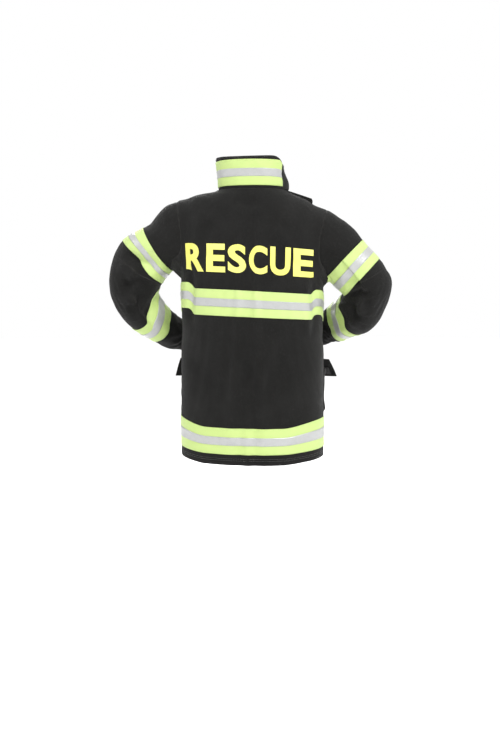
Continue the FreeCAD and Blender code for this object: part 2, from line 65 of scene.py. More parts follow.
# the left sleeve's centre line, with its radii in the plane of the arm and across it
SLEEVE_ROWS = [
    (96, 5, -90, 52, 46), (128, 5, -95, 63, 53), (154, 4, -101, 67, 57), (180, 2, -117, 61, 56),
    (208, -2, -141, 58, 54), (231, -6, -168, 56, 53), (244, -14, -202, 52, 51),
    (236, -30, -233, 48, 48), (208, -48, -252, 42, 42), (181, -74, -270, 36, 37),
    (158, -95, -286, 32.5, 33), (134, -115, -300, 31, 31), (121, -127, -311, 30.5, 30.5),
]
SHOULDER = np.array((160, 5, -103.0))
ELBOW = np.array((237, -8, -208.0))
WRIST = np.array((131, -108, -297.0))
CUFF = 24.0
# more than the forearm's radius near the cuff, less than its distance from the body
FOREARM_REACH = 42.0
FRONT_EDGE = 6.0
# the join of sleeve and body is smoothed outside, behind and above this point
ARMHOLE_CORNER = np.array((118, -80, -215))
ARMHOLE_PASSES = 12


def unit(v):
    v = np.asarray(v, float)
    return v / np.linalg.norm(v)


UPPER = unit(ELBOW - SHOULDER)
FOREARM = unit(WRIST - ELBOW)


def mirror(side, v):
    return np.array((side * v[0], v[1], v[2]), float)


def word_of(side):
    return "left" if side > 0 else "right"


def path_lengths(points):
    """How far along a line of points each point lies."""
    return np.concatenate([[0], np.cumsum(np.linalg.norm(np.diff(points, axis=0), axis=1))])


def step(a, b, x):
    """0 before a, 1 after b and a smooth rise between them."""
    t = np.clip((np.asarray(x, float) - a) / (b - a), 0, 1)
    return t * t * (3 - 2 * t)


def plateau(a, b, c, d, x):
    """0 before a and after d, 1 from b to c, smooth between them."""
    return step(a, b, x) * (1 - step(c, d, x))


def bump(x, middle, width):
    return np.exp(-(((np.asarray(x, float) - middle) / width) ** 2))


def spline(rows, steps):
    """Catmull-Rom through rows of numbers."""
    rows = np.array(rows, float)
    padded = np.vstack([2 * rows[0] - rows[1], rows, 2 * rows[-1] - rows[-2]])
    out = []
    for i in range(1, len(rows)):
        a, b, c, d = padded[i - 1:i + 3]
        for t in np.arange(steps) / steps:
            out.append(0.5 * (2 * b + (c - a) * t + (2 * a - 5 * b + 4 * c - d) * t * t
                              + (3 * b - a - 3 * c + d) * t ** 3))
    return np.array(out + [rows[-1]])


BODY = spline(BODY_ROWS, 6)


def body_section(z):
    """Half width, half depth and centre of the body at a height."""
    return [np.interp(z, BODY[:, 0], BODY[:, i]) for i in (1, 2, 3)]


def ring_point(a, power):
    c, s = math.cos(a), math.sin(a)
    return math.copysign(abs(c) ** (2 / power), c), math.copysign(abs(s) ** (2 / power), s)


def link(obj):
    bpy.context.scene.collection.objects.link(obj)
    return obj


def new_mesh(name, verts, faces):
    mesh = bpy.data.meshes.new(name)
    mesh.from_pydata([tuple(v) for v in (np.asarray(verts, float) * MM).tolist()], [], faces)
    return mesh


def tube_mesh(rings):
    """A closed mesh from rings of points, with a fan at each end."""
    count = len(rings[0])
    verts = [p for ring in rings for p in ring]
    faces = []
    for i in range(len(rings) - 1):
        for j in range(count):
            a, b = i * count + j, i * count + (j + 1) % count
            faces.append((a, b, b + count, a + count))
    for ring, flip in ((0, True), (len(rings) - 1, False)):
        verts.append(np.mean(rings[ring], axis=0))
        for j in range(count):
            a, b = ring * count + j, ring * count + (j + 1) % count
            faces.append((b, a, len(verts) - 1) if flip else (a, b, len(verts) - 1))
    return new_mesh("tube", verts, faces)


def body_rings():
    rings = []
    for z, w, d, cy in BODY:
        points = [ring_point(2 * math.pi * j / 96, SQUARENESS) for j in range(96)]
        rings.append([(w * x, cy + d * y, z) for x, y in points])
    return rings


def sleeve_rings(side):
    rows = spline(SLEEVE_ROWS, 5)
    rings = []
    for i, row in enumerate(rows):
        tangent = unit(rows[min(i + 1, len(rows) - 1)][:3] - rows[max(i - 1, 0)][:3])
        across = unit(np.array((0, 1, 0)) - tangent * tangent[1])
        inward = np.cross(across, tangent)
        ring = []
        for a in np.arange(64) * (2 * math.pi / 64):
            p = row[:3] + inward * (row[3] * math.cos(a)) + across * (row[4] * math.sin(a))
            ring.append(mirror(side, p))
        rings.append(ring if side > 0 else ring[::-1])
    return rings


def evaluated_mesh(obj):
    graph = bpy.context.evaluated_depsgraph_get()
    return bpy.data.meshes.new_from_object(obj.evaluated_get(graph))


def read(mesh, what="co"):
    data = np.empty(len(mesh.vertices) * 3)
    mesh.vertices.foreach_get(what, data)
    return data.reshape(-1, 3)


def cut_off(mesh, verts, point, normal):
    """Cuts away what lies beyond a plane, among the given vertices only."""
    chosen = set(verts)
    edges = [e for e in mesh.edges if e.verts[0] in chosen and e.verts[1] in chosen]
    faces = [f for f in mesh.faces if all(v in chosen for v in f.verts)]
    bmesh.ops.bisect_plane(mesh, geom=list(verts) + edges + faces, plane_co=Vector(point) * MM,
                           plane_no=Vector(normal), clear_outer=True, dist=1e-6)


def near_wrist(v, side):
    """Whether a vertex is on the end of the forearm and not on the body behind it."""
    p = np.array(v.co) / MM - mirror(side, WRIST)
    along = mirror(side, FOREARM)
    return -15 < p @ along < 60 and np.linalg.norm(p - along * (p @ along)) < FOREARM_REACH


def in_order(mesh):
    """The same mesh with its points and faces in one fixed order."""
    points = read(mesh)
    order = np.lexsort(np.round(points, 6).T)
    place = np.empty(len(order), int)
    place[order] = np.arange(len(order))
    faces = []
    for polygon in mesh.polygons:
        corners = [int(place[v]) for v in polygon.vertices]
        first = corners.index(min(corners))
        faces.append(tuple(corners[first:] + corners[:first]))
    out = bpy.data.meshes.new("ordered")
    out.from_pydata(points[order].tolist(), [], sorted(faces))
    return out


def base_surface():
    """One skin over the body and both sleeves, open at the hem, the neck and the cuffs."""
    merged = bmesh.new()
    for rings in (body_rings(), sleeve_rings(1), sleeve_rings(-1)):
        merged.from_mesh(tube_mesh(rings))
    bmesh.ops.recalc_face_normals(merged, faces=merged.faces)
    mesh = bpy.data.meshes.new("merged")
    merged.to_mesh(mesh)
    obj = link(bpy.data.objects.new("merged", mesh))
    remesh = obj.modifiers.new("remesh", "REMESH")
    remesh.mode = "VOXEL"
    remesh.voxel_size = VOXEL * MM
    skin = bmesh.new()
    skin.from_mesh(in_order(evaluated_mesh(obj)))
    bpy.data.objects.remove(obj)
    x, y, z = ARMHOLE_CORNER * MM
    armhole = [v for v in skin.verts if abs(v.co.x) > x and v.co.y > y and v.co.z > z]
    for verts, times in ((armhole, ARMHOLE_PASSES), (skin.verts, 1)):
        for _ in range(times):
            bmesh.ops.smooth_vert(skin, verts=verts, factor=0.5, use_axis_x=True, use_axis_y=True,
                                  use_axis_z=True)
    cut_off(skin, skin.verts, (0, 0, HEM), (0, 0, -1))
    cut_off(skin, skin.verts, (0, 0, -0.5), (0, 0, 1))
    for side in (1, -1):
        end = [v for v in skin.verts if near_wrist(v, side)]
        cut_off(skin, end, mirror(side, WRIST), mirror(side, FOREARM))
    mesh = bpy.data.meshes.new("skin")
    skin.to_mesh(mesh)
    return mesh


# ---------------------------------------------------------------- drape

DRAPE_FRAMES = 30
# how far the form lies inside the skin, and how much more in the sleeves
FORM_GAP, SLEEVE_GAP = 6, 1.5
# how much longer the sleeves' cloth is cut than the form
EASE = 0.07


def add_group(obj, name, weights):
    group = obj.vertex_groups.new(name=name)
    for i, weight in enumerate(weights):
        if weight > 0.01:
            group.add([i], float(weight), "REPLACE")


def pinned(rest):
    """Held places: the neck, the middle of the front and the cuffs."""
    x, y, z = rest.T
    pin = step(-26, -6, z)
    pin = np.maximum(pin, np.where(y < 0, 1 - step(38, 60, np.abs(x)), 0))
    for side in (1, -1):
        from_wrist = rest - mirror(side, WRIST)
        along = from_wrist @ mirror(side, FOREARM)
        near = np.linalg.norm(from_wrist, axis=1) < 60
        pin = np.maximum(pin, np.where(near & (along > -14) & (np.abs(x) > 90), 1, 0))
    return pin


def drape(mesh):
    """Lets the skin hang and buckle over a slightly smaller copy of itself, as cloth."""
    rest = read(mesh) / MM
    sleeve = step(150, 178, np.abs(rest[:, 0]))
    inner = mesh.copy()
    gap = (FORM_GAP + SLEEVE_GAP * sleeve)[:, None]
    inner.vertices.foreach_set("co", ((rest - read(mesh, "normal") * gap) * MM).ravel())
    form = link(bpy.data.objects.new("form", inner))
    form.modifiers.new("collision", "COLLISION")
    form.collision.thickness_outer = 0.001
    form.collision.cloth_friction = 20
    obj = link(bpy.data.objects.new("drape", mesh.copy()))
    add_group(obj, "pin", pinned(rest))
    add_group(obj, "ease", 0.3 + 0.7 * sleeve)
    cloth = obj.modifiers.new("cloth", "CLOTH")
    cloth.settings.quality = 5
    cloth.settings.mass = 0.25
    for key in ("tension_stiffness", "compression_stiffness"):
        setattr(cloth.settings, key, 20)
    for key in ("shear_stiffness", "tension_damping", "compression_damping", "shear_damping"):
        setattr(cloth.settings, key, 8)
    cloth.settings.bending_stiffness = 1.0
    cloth.settings.vertex_group_mass = "pin"
    cloth.settings.vertex_group_shrink = "ease"
    cloth.settings.shrink_min = 0.0
    cloth.settings.shrink_max = -EASE
    cloth.collision_settings.distance_min = 0.0015
    for number in range(1, DRAPE_FRAMES + 1):
        bpy.context.scene.frame_set(number)
    result = read(evaluated_mesh(obj)) / MM
    bpy.data.objects.remove(obj)
    bpy.data.objects.remove(form)
    bpy.context.scene.frame_set(1)
    return result


def levelled(rest, draped):
    """Takes the average sag out of the body, so that its tapes stay at their heights."""
    moved = draped - rest
    body = (np.abs(rest[:, 0]) < 140) & (rest[:, 1] > -60)
    rows = np.arange(HEM, 1, 25)
    sag = [moved[body & (np.abs(rest[:, 2] - z) < 20), 2].mean() for z in rows]
    share = (1 - step(140, 165, np.abs(rest[:, 0]))) * step(-95, -60, rest[:, 1])
    draped = draped.copy()
    draped[:, 2] -= np.interp(rest[:, 2], rows, sag) * share
    return draped


def subdivided(mesh, coordinates):
    """One level of smooth subdivision of the mesh with these coordinates."""
    copy = mesh.copy()
    copy.vertices.foreach_set("co", (coordinates * MM).ravel())
    obj = link(bpy.data.objects.new("smooth", copy))
    obj.modifiers.new("smooth", "SUBSURF").levels = 1
    result = evaluated_mesh(obj)
    bpy.data.objects.remove(obj)
    return result


# ---------------------------------------------------------------- folds

# Fold lines seen from behind: points (x, z), half width, depth of the valley, height of the ridge beside it.
# x grows to the wearer's left. Each applies to one part: "back", or the sleeve of one side.
FOLDS = [
    ("back", [(122, -150), (118, -205), (120, -262), (124, -300)], 9, 4.6, 2.4),
    ("back", [(-133, -165), (-131, -215), (-133, -268), (-130, -300)], 8, 4.0, 2.0),
    ("back", [(-84, -285), (-62, -350), (-38, -410), (-20, -462)], 17, 4.0, 4.0),
    ("back", [(-8, -330), (-2, -378), (-14, -432)], 14, 2.6, 2.6),
    ("back", [(92, -330), (104, -400), (112, -465)], 15, 1.8, 1.8),
    ("back", [(66, -60), (84, -105), (90, -150)], 14, 1.8, 2.0),
    ("back", [(-58, -55), (-92, -92), (-118, -140)], 14, 2.0, 2.0),
    ("back", [(30, -25), (0, -33), (-34, -27)], 9, 1.4, 1.4),
    (1, [(252, -138), (222, -158), (196, -166), (172, -172)], 11, 8.0, 5.0),
    (1, [(188, -201), (212, -190), (240, -196), (262, -186)], 10, 7.0, 5.0),
    (1, [(190, -207), (214, -214), (238, -232), (262, -240)], 9, 7.0, 5.0),
    (1, [(187, -214), (205, -232), (218, -254)], 8, 5.0, 3.5),
    (-1, [(-186, -199), (-206, -206), (-232, -200), (-256, -204)], 9, 8.0, 6.0),
    (-1, [(-192, -208), (-214, -218), (-236, -214), (-262, -226)], 9, 6.5, 5.0),
    (-1, [(-190, -212), (-205, -230), (-226, -243), (-248, -246)], 9, 8.0, 6.0),
    (-1, [(-182, -184), (-204, -180), (-226, -170)], 10, 3.2, 3.0),
]


def along_line(points, x, z):
    """Signed distance from a polyline and the share of its length passed, for each point."""
    line = spline(points, 6)
    lengths = path_lengths(line)
    best = np.full(len(x), 1e9)
    signed = np.full(len(x), 1e9)
    share = np.zeros(len(x))
    for i in range(len(line) - 1):
        (ax, az), (bx, bz) = line[i], line[i + 1]
        dx, dz = bx - ax, bz - az
        size = math.hypot(dx, dz)
        t = np.clip(((x - ax) * dx + (z - az) * dz) / size ** 2, 0, 1)
        px, pz = x - ax - t * dx, z - az - t * dz
        distance = np.hypot(px, pz)
        closer = distance < best
        best = np.where(closer, distance, best)
        signed = np.where(closer, np.copysign(distance, dx * pz - dz * px), signed)
        share = np.where(closer, (lengths[i] + t * size) / lengths[-1], share)
    return signed, share


def fold_offsets(rest, sleeve):
    """How far each point moves along its normal for the fold lines; sleeve is 0, 1 or -1 for each point."""
    x, y, z = rest.T
    total = np.zeros(len(x))
    for where, points, width, valley, ridge in FOLDS:
        part = (sleeve == 0) & (y > 0) if where == "back" else (sleeve == where) & (y > -75)
        fade = step(0, 30, y) if where == "back" else step(-75, -35, y)
        signed, share = along_line(points, x, z)
        ends = plateau(0, 0.22, 0.78, 1, share)
        shape = -valley * bump(signed, 0, width) + ridge * bump(signed, 1.7 * width, width)
        total += np.where(part, shape * ends * fade, 0)
    return total


# how much the left side is carried higher: the slope across the body, by height
LEAN_HEIGHTS = [-543, -400, -230, -143, -30, 0]
LEAN = [0, 0.010, 0.048, 0.055, 0.060, 0]
# how much higher the left arm is carried, by distance down the upper arm
ARM_LEAN_AT = [0, 20, 50, 75, 105, 130, 160]
ARM_LEAN = [8, 9.5, 14, 15.5, 13, 6, 2]
# the pose of each arm against the even one: places seen from behind (x, z) and how far each moves (x, z)
ARM_SHIFTS = {
    1: ((216, -74, 15, 0), (224, -83, 10, 6), (261, -124, 12, 11), (287, -176, 15, 4),
        (290, -214, 12, 4), (276, -256, 4, 0), (262, -277, -4, -4), (223, -306, 3, -6),
        (184, -316, 8, -13), (178, -217, 23, 2), (153, -193, 19, 15), (146, -176, 17, 10),
        (171, -233, 20, -9), (159, -249, 2, -20), (131, -297, 2, -7)),
    -1: ((-228, -87, 5, 0), (-264, -129, 4, 5), (-285, -187, 2, 8), (-285, -230, 10, 4),
         (-278, -257, 20, -2), (-258, -282, 19, -2), (-231, -295, 14, 8), (-194, -314, 7, 3),
         (-147, -176, -8, 12), (-163, -197, -8, 18), (-180, -222, -8, 23), (-167, -232, -2, 17),
         (-152, -246, 0, 14), (-131, -297, 2, 7)),
}
SHIFT_REACH = 32.0
# how far the chest tape, the ends of the hem and the left and right shoulders are raised
CHEST_RAISE = 3
HEM_RAISE = 6
SHOULDER_RAISES = (11, 8)
# how much wider the body is made at the waist; twice as much at the hem
WIDENING = 3


def arm_shift(rest, side):
    """Sideways and upward move of the points of one arm, none at the seam that sets the sleeve in."""
    places = np.array(ARM_SHIFTS[side], float)
    apart = (rest[:, None, 0] - places[:, 0]) ** 2 + (rest[:, None, 2] - places[:, 1]) ** 2
    share = np.exp(-apart / SHIFT_REACH ** 2) + 1e-9
    move = share @ places[:, 2:] / share.sum(axis=1)[:, None]
    return move * step(-5, 45, (rest - mirror(side, SHOULDER)) @ mirror(side, UPPER))[:, None]


def warp(rest, sleeve):
    """How far each point moves sideways and up: the arms' pose, the higher left side, the tapes' kicks."""
    x, y, z = rest.T
    arm = np.abs(sleeve) > 0
    mirrored = rest * np.where(x[:, None] < 0, (-1, 1, 1), (1, 1, 1))
    carried = np.interp((mirrored - SHOULDER) @ UPPER, ARM_LEAN_AT, ARM_LEAN)
    lean = np.clip(x, -150, 150) * np.interp(z, LEAN_HEIGHTS, LEAN)
    lean = np.where(arm, np.sign(x) * carried, lean) * step(-70, -10, y) * step(-0.5, -25, z)
    ends = 12 * step(112, 128, x) + 10 * step(125, 138, -x)
    kick = (ends + CHEST_RAISE) * plateau(-345, -262, -200, -150, z) * step(-10, 30, y)
    tape = HEM_RAISE + 9 * plateau(-522, -471, -455, -400, z)
    hem = (step(85, 150, x) + step(70, 150, -x)) * tape * (1 - step(-455, -400, z)) * step(-95, 35, y)
    left, right = plateau(60, 115, 170, 215, x), plateau(85, 122, 150, 185, -x)
    shoulder = SHOULDER_RAISES[0] * left + SHOULDER_RAISES[1] * right
    wide = WIDENING * (2 - step(-470, -430, z)) * (1 - step(-330, -290, z))
    wide = wide * np.sign(x) * step(90, 140, np.abs(x))
    up = lean + np.where(arm, 0, kick + hem) + shoulder * step(-110, -50, z)
    out = np.stack([np.where(arm, 0, wide), np.zeros(len(x)), up], axis=1)
    for side in (1, -1):
        on = sleeve == side
        out[np.ix_(on, (0, 2))] += arm_shift(rest[on], side)
    return out


def wrinkles(rest, sleeve):
    """Fine unevenness of the cloth, more on the sleeves."""
    out = np.empty(len(rest))
    for i, p in enumerate(rest.tolist()):
        low = noise.noise(Vector((p[0] / 70, p[1] / 70, p[2] / 95)))
        high = noise.noise(Vector((p[0] / 21 + 9, p[1] / 21, p[2] / 27)))
        out[i] = 1.6 * low + 0.5 * high
    held = np.where((rest[:, 1] < 0) & (sleeve == 0), step(38, 70, np.abs(rest[:, 0])), 1)
    return out * held * step(0, -22, rest[:, 2]) * np.where(sleeve == 0, 1, 1.35)


# ---------------------------------------------------------------- cutting the skin into panels

# height of the seam that sets the sleeve in, and its distance from the middle
ARMHOLE = [(-400, 150), (-171, 152), (-142, 143), (-95, 142), (-55, 150), (-31, 155), (0, 155)]
CHEST_TAPE = (-257.0, -206.0)
HEM_TAPE = (-522.0, -471.0)
STRIPE = 16.0
# the upper arm's tape: two points (x, z) on its upper edge and two on its lower edge, for each side
ARM_TAPES = {
    1: (((217, -84), (162, -171)), ((257, -117), (184, -192))),
    -1: (((-220, -93), (-159, -162)), ((-261, -122), (-208, -189))),
}
WRIST_TAPE_STARTS = {1: np.array((232, -24, -234.6)), -1: np.array((-214, -40, -248.5))}
TAPE_WIDTH = 51.0
MARGIN = (TAPE_WIDTH - STRIPE) / 2
SLEEVE_SPLIT = (np.array((217, -2, -173.0)), unit((0.506, -0.094, -0.849)))


def armhole_value(p):
    seam = np.interp(p[:, 2], [a for a, _ in ARMHOLE], [b for _, b in ARMHOLE])
    return np.abs(p[:, 0]) - seam


def by_armhole(p):
    x, y, z = np.abs(p[:, 0]), p[:, 1], p[:, 2]
    return (z > -192) & (x > 122) & (x < 178) & (y > -78)


def side_seam_value(p):
    return p[:, 1] - 6 * step(-60, -15, p[:, 2])


def tape_edge(points):
    """Distance beyond a tape edge, down the arm, for the plane through two points seen from behind."""
    (ax, az), (bx, bz) = points
    normal = unit((bz - az, 0, ax - bx))
    if normal[2] > 0:
        normal = -normal
    return lambda p: (p - np.array((ax, 0, az))) @ normal


def arm_values(side):
    """The distances down the arm that the sleeve is cut at, by name."""
    start, end = (tape_edge(points) for points in ARM_TAPES[side])
    low, high = MARGIN, TAPE_WIDTH - MARGIN
    along = mirror(side, FOREARM)
    split_point, split_normal = (mirror(side, v) for v in SLEEVE_SPLIT)

    def between(share):
        return lambda p: start(p) * (1 - share) + end(p) * share

    def down(distance):
        return lambda p: (p - WRIST_TAPE_STARTS[side]) @ along - distance

    return {
        "arm_tape": between(0), "arm_stripe": between(low / TAPE_WIDTH),
        "arm_stripe_end": between(high / TAPE_WIDTH), "arm_tape_end": between(1),
        "split": lambda p: (p - split_point) @ split_normal,
        "wrist_tape": down(0), "wrist_stripe": down(low),
        "wrist_stripe_end": down(high), "wrist_tape_end": down(TAPE_WIDTH),
        "cuff": lambda p: (p - mirror(side, WRIST)) @ along + CUFF,
    }


def reach_down_arm(p, side):
    """Distance past the elbow's plane: negative on the upper sleeve."""
    return (p - mirror(side, ELBOW)) @ unit(mirror(side, UPPER + FOREARM))


class Skin:
    """The coat's outer surface with the place of each point at rest on the form and as draped."""

    def __init__(self, rest_mesh, draped_mesh):
        self.bm = bmesh.new()
        self.bm.from_mesh(rest_mesh)
        self.rest_layer = self.bm.verts.layers.float_vector.new("rest")
        self.pos_layer = self.bm.verts.layers.float_vector.new("pos")
        rest, pos = read(rest_mesh) / MM, read(draped_mesh) / MM
        for v, r, p in zip(self.bm.verts, rest.tolist(), pos.tolist()):
            v[self.rest_layer] = r
            v[self.pos_layer] = p
            v.co = r
        self.cut(armhole_value, by_armhole)
        self.refresh()
        self.sleeve = self.flood()

    def cut(self, value, where):
        """Cuts along value = 0, where the region test holds."""
        self.bm.verts.index_update()
        rest = np.array([v[self.rest_layer][:] for v in self.bm.verts])
        values = value(rest)
        inside = where(rest)
        for v, s in zip(self.bm.verts, values.tolist()):
            v.co.x = s
        corners = [[v.index for v in f.verts] for f in self.bm.faces]
        starts = np.cumsum([0] + [len(c) for c in corners[:-1]])
        flat = np.array([i for c in corners for i in c])
        crossed = np.logical_and.reduceat(inside[flat], starts)
        crossed &= np.minimum.reduceat(values[flat], starts) < 0
        crossed &= np.maximum.reduceat(values[flat], starts) > 0
        self.bm.faces.ensure_lookup_table()
        faces = [self.bm.faces[i] for i in np.nonzero(crossed)[0]]
        edges = dict.fromkeys(e for f in faces for e in f.edges)
        verts = dict.fromkeys(v for f in faces for v in f.verts)
        bmesh.ops.bisect_plane(self.bm, geom=list(verts) + list(edges) + faces, plane_co=(0, 0, 0),
                               plane_no=(1, 0, 0), dist=0.2)
        for v in self.bm.verts:
            v.co = v[self.rest_layer]

    def refresh(self):
        self.bm.verts.index_update()
        self.bm.faces.index_update()
        self.rest = np.array([v[self.rest_layer][:] for v in self.bm.verts])
        self.pos = np.array([v[self.pos_layer][:] for v in self.bm.verts])
        self.faces = [tuple(v.index for v in f.verts) for f in self.bm.faces]
        sizes = np.array([len(f) for f in self.faces])
        starts = np.concatenate([[0], np.cumsum(sizes)[:-1]])
        corners = self.rest[np.array([i for f in self.faces for i in f])]
        self.centre = np.add.reduceat(corners, starts, axis=0) / sizes[:, None]

    def flood(self):
        """Sorts the faces into the torso (0), the left sleeve (1) and the right one (-1)."""
        on_seam = (np.abs(armhole_value(self.rest)) < 0.21) & by_armhole(self.rest)
        side = np.zeros(len(self.faces), int)
        self.bm.faces.ensure_lookup_table()
        for sign in (1, -1):
            seed = int(np.argmax(sign * self.centre[:, 0]))
            side[seed] = sign
            stack = [self.bm.faces[seed]]
            while stack:
                face = stack.pop()
                for e in face.edges:
                    if on_seam[e.verts[0].index] and on_seam[e.verts[1].index]:
                        continue
                    for other in e.link_faces:
                        if side[other.index] == 0:
                            side[other.index] = sign
                            stack.append(other)
        return side

    def by_vertex(self):
        out = np.zeros(len(self.rest), int)
        for face, side in zip(self.faces, self.sleeve):
            if side:
                out[list(face)] = side
        return out

    def normals(self):
        mesh = new_mesh("normals", self.pos, self.faces)
        out = read(mesh, "normal")
        bpy.data.meshes.remove(mesh)
        return out

    def shape(self):
        """Folds, wrinkles, seams and the lean of the coat, on top of the drape."""
        part = self.by_vertex()
        rest = self.rest
        seam = -1.2 * np.where(by_armhole(rest), bump(armhole_value(rest), 0, 2.4), 0)
        seam += np.where((part == 0) & (rest[:, 2] < -8), -0.9 * bump(side_seam_value(rest), 0, 2.4), 0)
        offset = fold_offsets(rest, part) + wrinkles(rest, part) + seam
        self.pos += self.normals() * offset[:, None]
        self.pos += warp(rest, part)
        for v, p in zip(self.bm.verts, self.pos.tolist()):
            v[self.pos_layer] = p

    def cut_panels(self):
        """Cuts the panels, tapes and stripes. The side of each face is kept in an integer layer."""
        layer = self.bm.faces.layers.int.new("side")
        for f, side in zip(self.bm.faces, self.sleeve.tolist()):
            f[layer] = side

        def torso(p):
            return (np.abs(p[:, 0]) < 158) & ~((p[:, 1] < -78) & (np.abs(p[:, 0]) > 100) & (p[:, 2] < -250))

        def torso_low(p):
            return torso(p) & (p[:, 2] < -185)

        self.cut(side_seam_value, torso)
        for x in (-FRONT_EDGE, FRONT_EDGE):
            self.cut(lambda p, x=x: p[:, 0] - x, lambda p: p[:, 1] < 0)
        for low, high in (CHEST_TAPE, HEM_TAPE):
            for z in (low, low + MARGIN, high - MARGIN, high):
                self.cut(lambda p, z=z: p[:, 2] - z, torso_low)
        for side in (1, -1):
            for name, value in arm_values(side).items():
                upper = name.startswith("arm") or name == "split"

                def arm(p, upper=upper, side=side):
                    past = reach_down_arm(p, side)
                    place = past < 15 if upper else past > 0
                    return place & (side * p[:, 0] > (150 if upper else 100)) & (p[:, 2] < -55)

                self.cut(value, arm)

            def past_elbow(p, side=side):
                return reach_down_arm(p, side)

            def elbow(p, side=side):
                return (np.abs(reach_down_arm(p, side)) < 30) & (side * p[:, 0] > 150)

            self.cut(past_elbow, elbow)
        self.refresh()
        self.sleeve = np.array([f[layer] for f in self.bm.faces])
        self.normal = self.normals()
        self.label_faces()
        self.tree = BVHTree.FromPolygons([tuple(p) for p in self.rest.tolist()], self.faces)

    def label_faces(self):
        c = self.centre
        torso = self.sleeve == 0
        back = side_seam_value(c) > 0
        gap = (np.abs(c[:, 0]) < FRONT_EDGE) & ~back
        self.masks = {
            "back": torso & back,
            "front_left": torso & ~back & (c[:, 0] > 0) & ~gap,
            "front_right": torso & ~back & (c[:, 0] < 0) & ~gap,
        }
        body = torso & ~gap
        for name, (low, high) in (("chest", CHEST_TAPE), ("hem", HEM_TAPE)):
            self.masks[f"{name}_tape"] = body & (c[:, 2] > low) & (c[:, 2] < high)
            self.masks[f"{name}_stripe"] = body & (c[:, 2] > low + MARGIN) & (c[:, 2] < high - MARGIN)
        for side in (1, -1):
            word = word_of(side)
            arm = self.sleeve == side
            upper = arm & (reach_down_arm(c, side) < 15)
            lower = arm & (reach_down_arm(c, side) > 0) & (side * c[:, 0] > 100)
            values = {name: value(c) for name, value in arm_values(side).items()}
            before_split = upper & (values["split"] < 0)
            cuff = lower & (values["cuff"] > 0)
            self.masks[f"upper_{word}"] = before_split
            self.masks[f"forearm_{word}"] = arm & ~before_split & ~cuff
            self.masks[f"cuff_{word}"] = cuff
            for kind, place in (("arm", upper), ("wrist", lower)):
                for layer in ("tape", "stripe"):
                    inside = (values[f"{kind}_{layer}"] > 0) & (values[f"{kind}_{layer}_end"] < 0)
                    self.masks[f"{kind}_{layer}_{word}"] = place & inside

    def wrap(self, point):
        """The draped place of a point on the resting surface, and its direction outwards."""
        found, _, index, _ = self.tree.find_nearest(Vector(point))
        face = list(self.faces[index])
        weights = np.array(interpolate.poly_3d_calc([Vector(self.rest[i]) for i in face], found))
        normal = unit(weights @ self.normal[face])
        return weights @ self.pos[face], normal


# ---------------------------------------------------------------- texture coordinates

RING = np.array([ring_point(a, SQUARENESS) for a in np.linspace(0, 2 * math.pi, 241)]) * (148, 94)
RING_LENGTH = path_lengths(RING)
RING_ANGLE = np.unwrap(np.arctan2(RING[:, 1], RING[:, 0]))
ARM_LINE = spline(SLEEVE_ROWS, 3)[:, :3]
ARM_LENGTH = path_lengths(ARM_LINE)
ARM_RADIUS = 48


def body_uv(rest):
    angle = np.mod(np.arctan2(rest[:, 1], rest[:, 0]), 2 * math.pi)
    return np.stack([np.interp(angle, RING_ANGLE, RING_LENGTH), rest[:, 2]], axis=1)


def arm_uv(rest):
    p = rest * np.where(rest[:, :1] < 0, (-1, 1, 1), (1, 1, 1))
    nearest = np.argmin(((p[:, None, :] - ARM_LINE[None]) ** 2).sum(axis=2), axis=1)
    tangent = np.gradient(ARM_LINE, axis=0)
    tangent /= np.linalg.norm(tangent, axis=1)[:, None]
    t = tangent[nearest]
    off = p - ARM_LINE[nearest]
    length = ARM_LENGTH[nearest] + (off * t).sum(axis=1)
    across = np.array((0, 1, 0)) - t * t[:, 1:2]
    across /= np.linalg.norm(across, axis=1)[:, None]
    inward = np.cross(across, t)
    angle = np.arctan2((off * across).sum(axis=1), -(off * inward).sum(axis=1))
    return np.stack([(angle + math.pi) * ARM_RADIUS, length], axis=1)


# ---------------------------------------------------------------- writing meshes

class Piece:
    """Vertices, faces, texture coordinates and material numbers of one mesh."""

    def __init__(self):
        self.verts, self.faces, self.uvs, self.mats = [], [], [], []

    def add(self, verts, faces, uvs, mat=0):
        """uvs has one pair for each corner of each face."""
        base = len(self.verts)
        self.verts += [tuple(v) for v in np.asarray(verts, float).tolist()]
        self.faces += [tuple(base + i for i in f) for f in faces]
        self.uvs += uvs
        self.mats += [mat] * len(faces)
        return self

    def write(self, name, materials, slot, replaces=(), body=None, bend=None, smooth=True):
        mesh = new_mesh(name, self.verts, self.faces)
        mesh.polygons.foreach_set("use_smooth", [smooth] * len(self.faces))
        mesh.polygons.foreach_set("material_index", self.mats)
        layer = mesh.uv_layers.new(name="weave")
        flat = np.array([c for uv in self.uvs for c in uv], float) * MM
        layer.data.foreach_set("uv", flat.ravel())
        for material in materials:
            mesh.materials.append(material)
        mesh.validate()
        shell = bmesh.new()
        shell.from_mesh(mesh)
        bmesh.ops.recalc_face_normals(shell, faces=shell.faces)
        shell.to_mesh(mesh)
        shell.free()
        obj = link(bpy.data.objects.new(name, mesh))
        if bend:
            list(bend[0])
            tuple(bend[1])
            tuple(bend[2])
            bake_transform(obj)
        else:
            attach(obj, body)
        if replaces:
            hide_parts(*replaces)
        return obj


def boundary(faces):
    """Directed edges that only one face has."""
    edges = {}
    for face in faces:
        for a, b in zip(face, face[1:] + face[:1]):
            edges[(a, b)] = True
    return [(a, b) for a, b in edges if (b, a) not in edges]


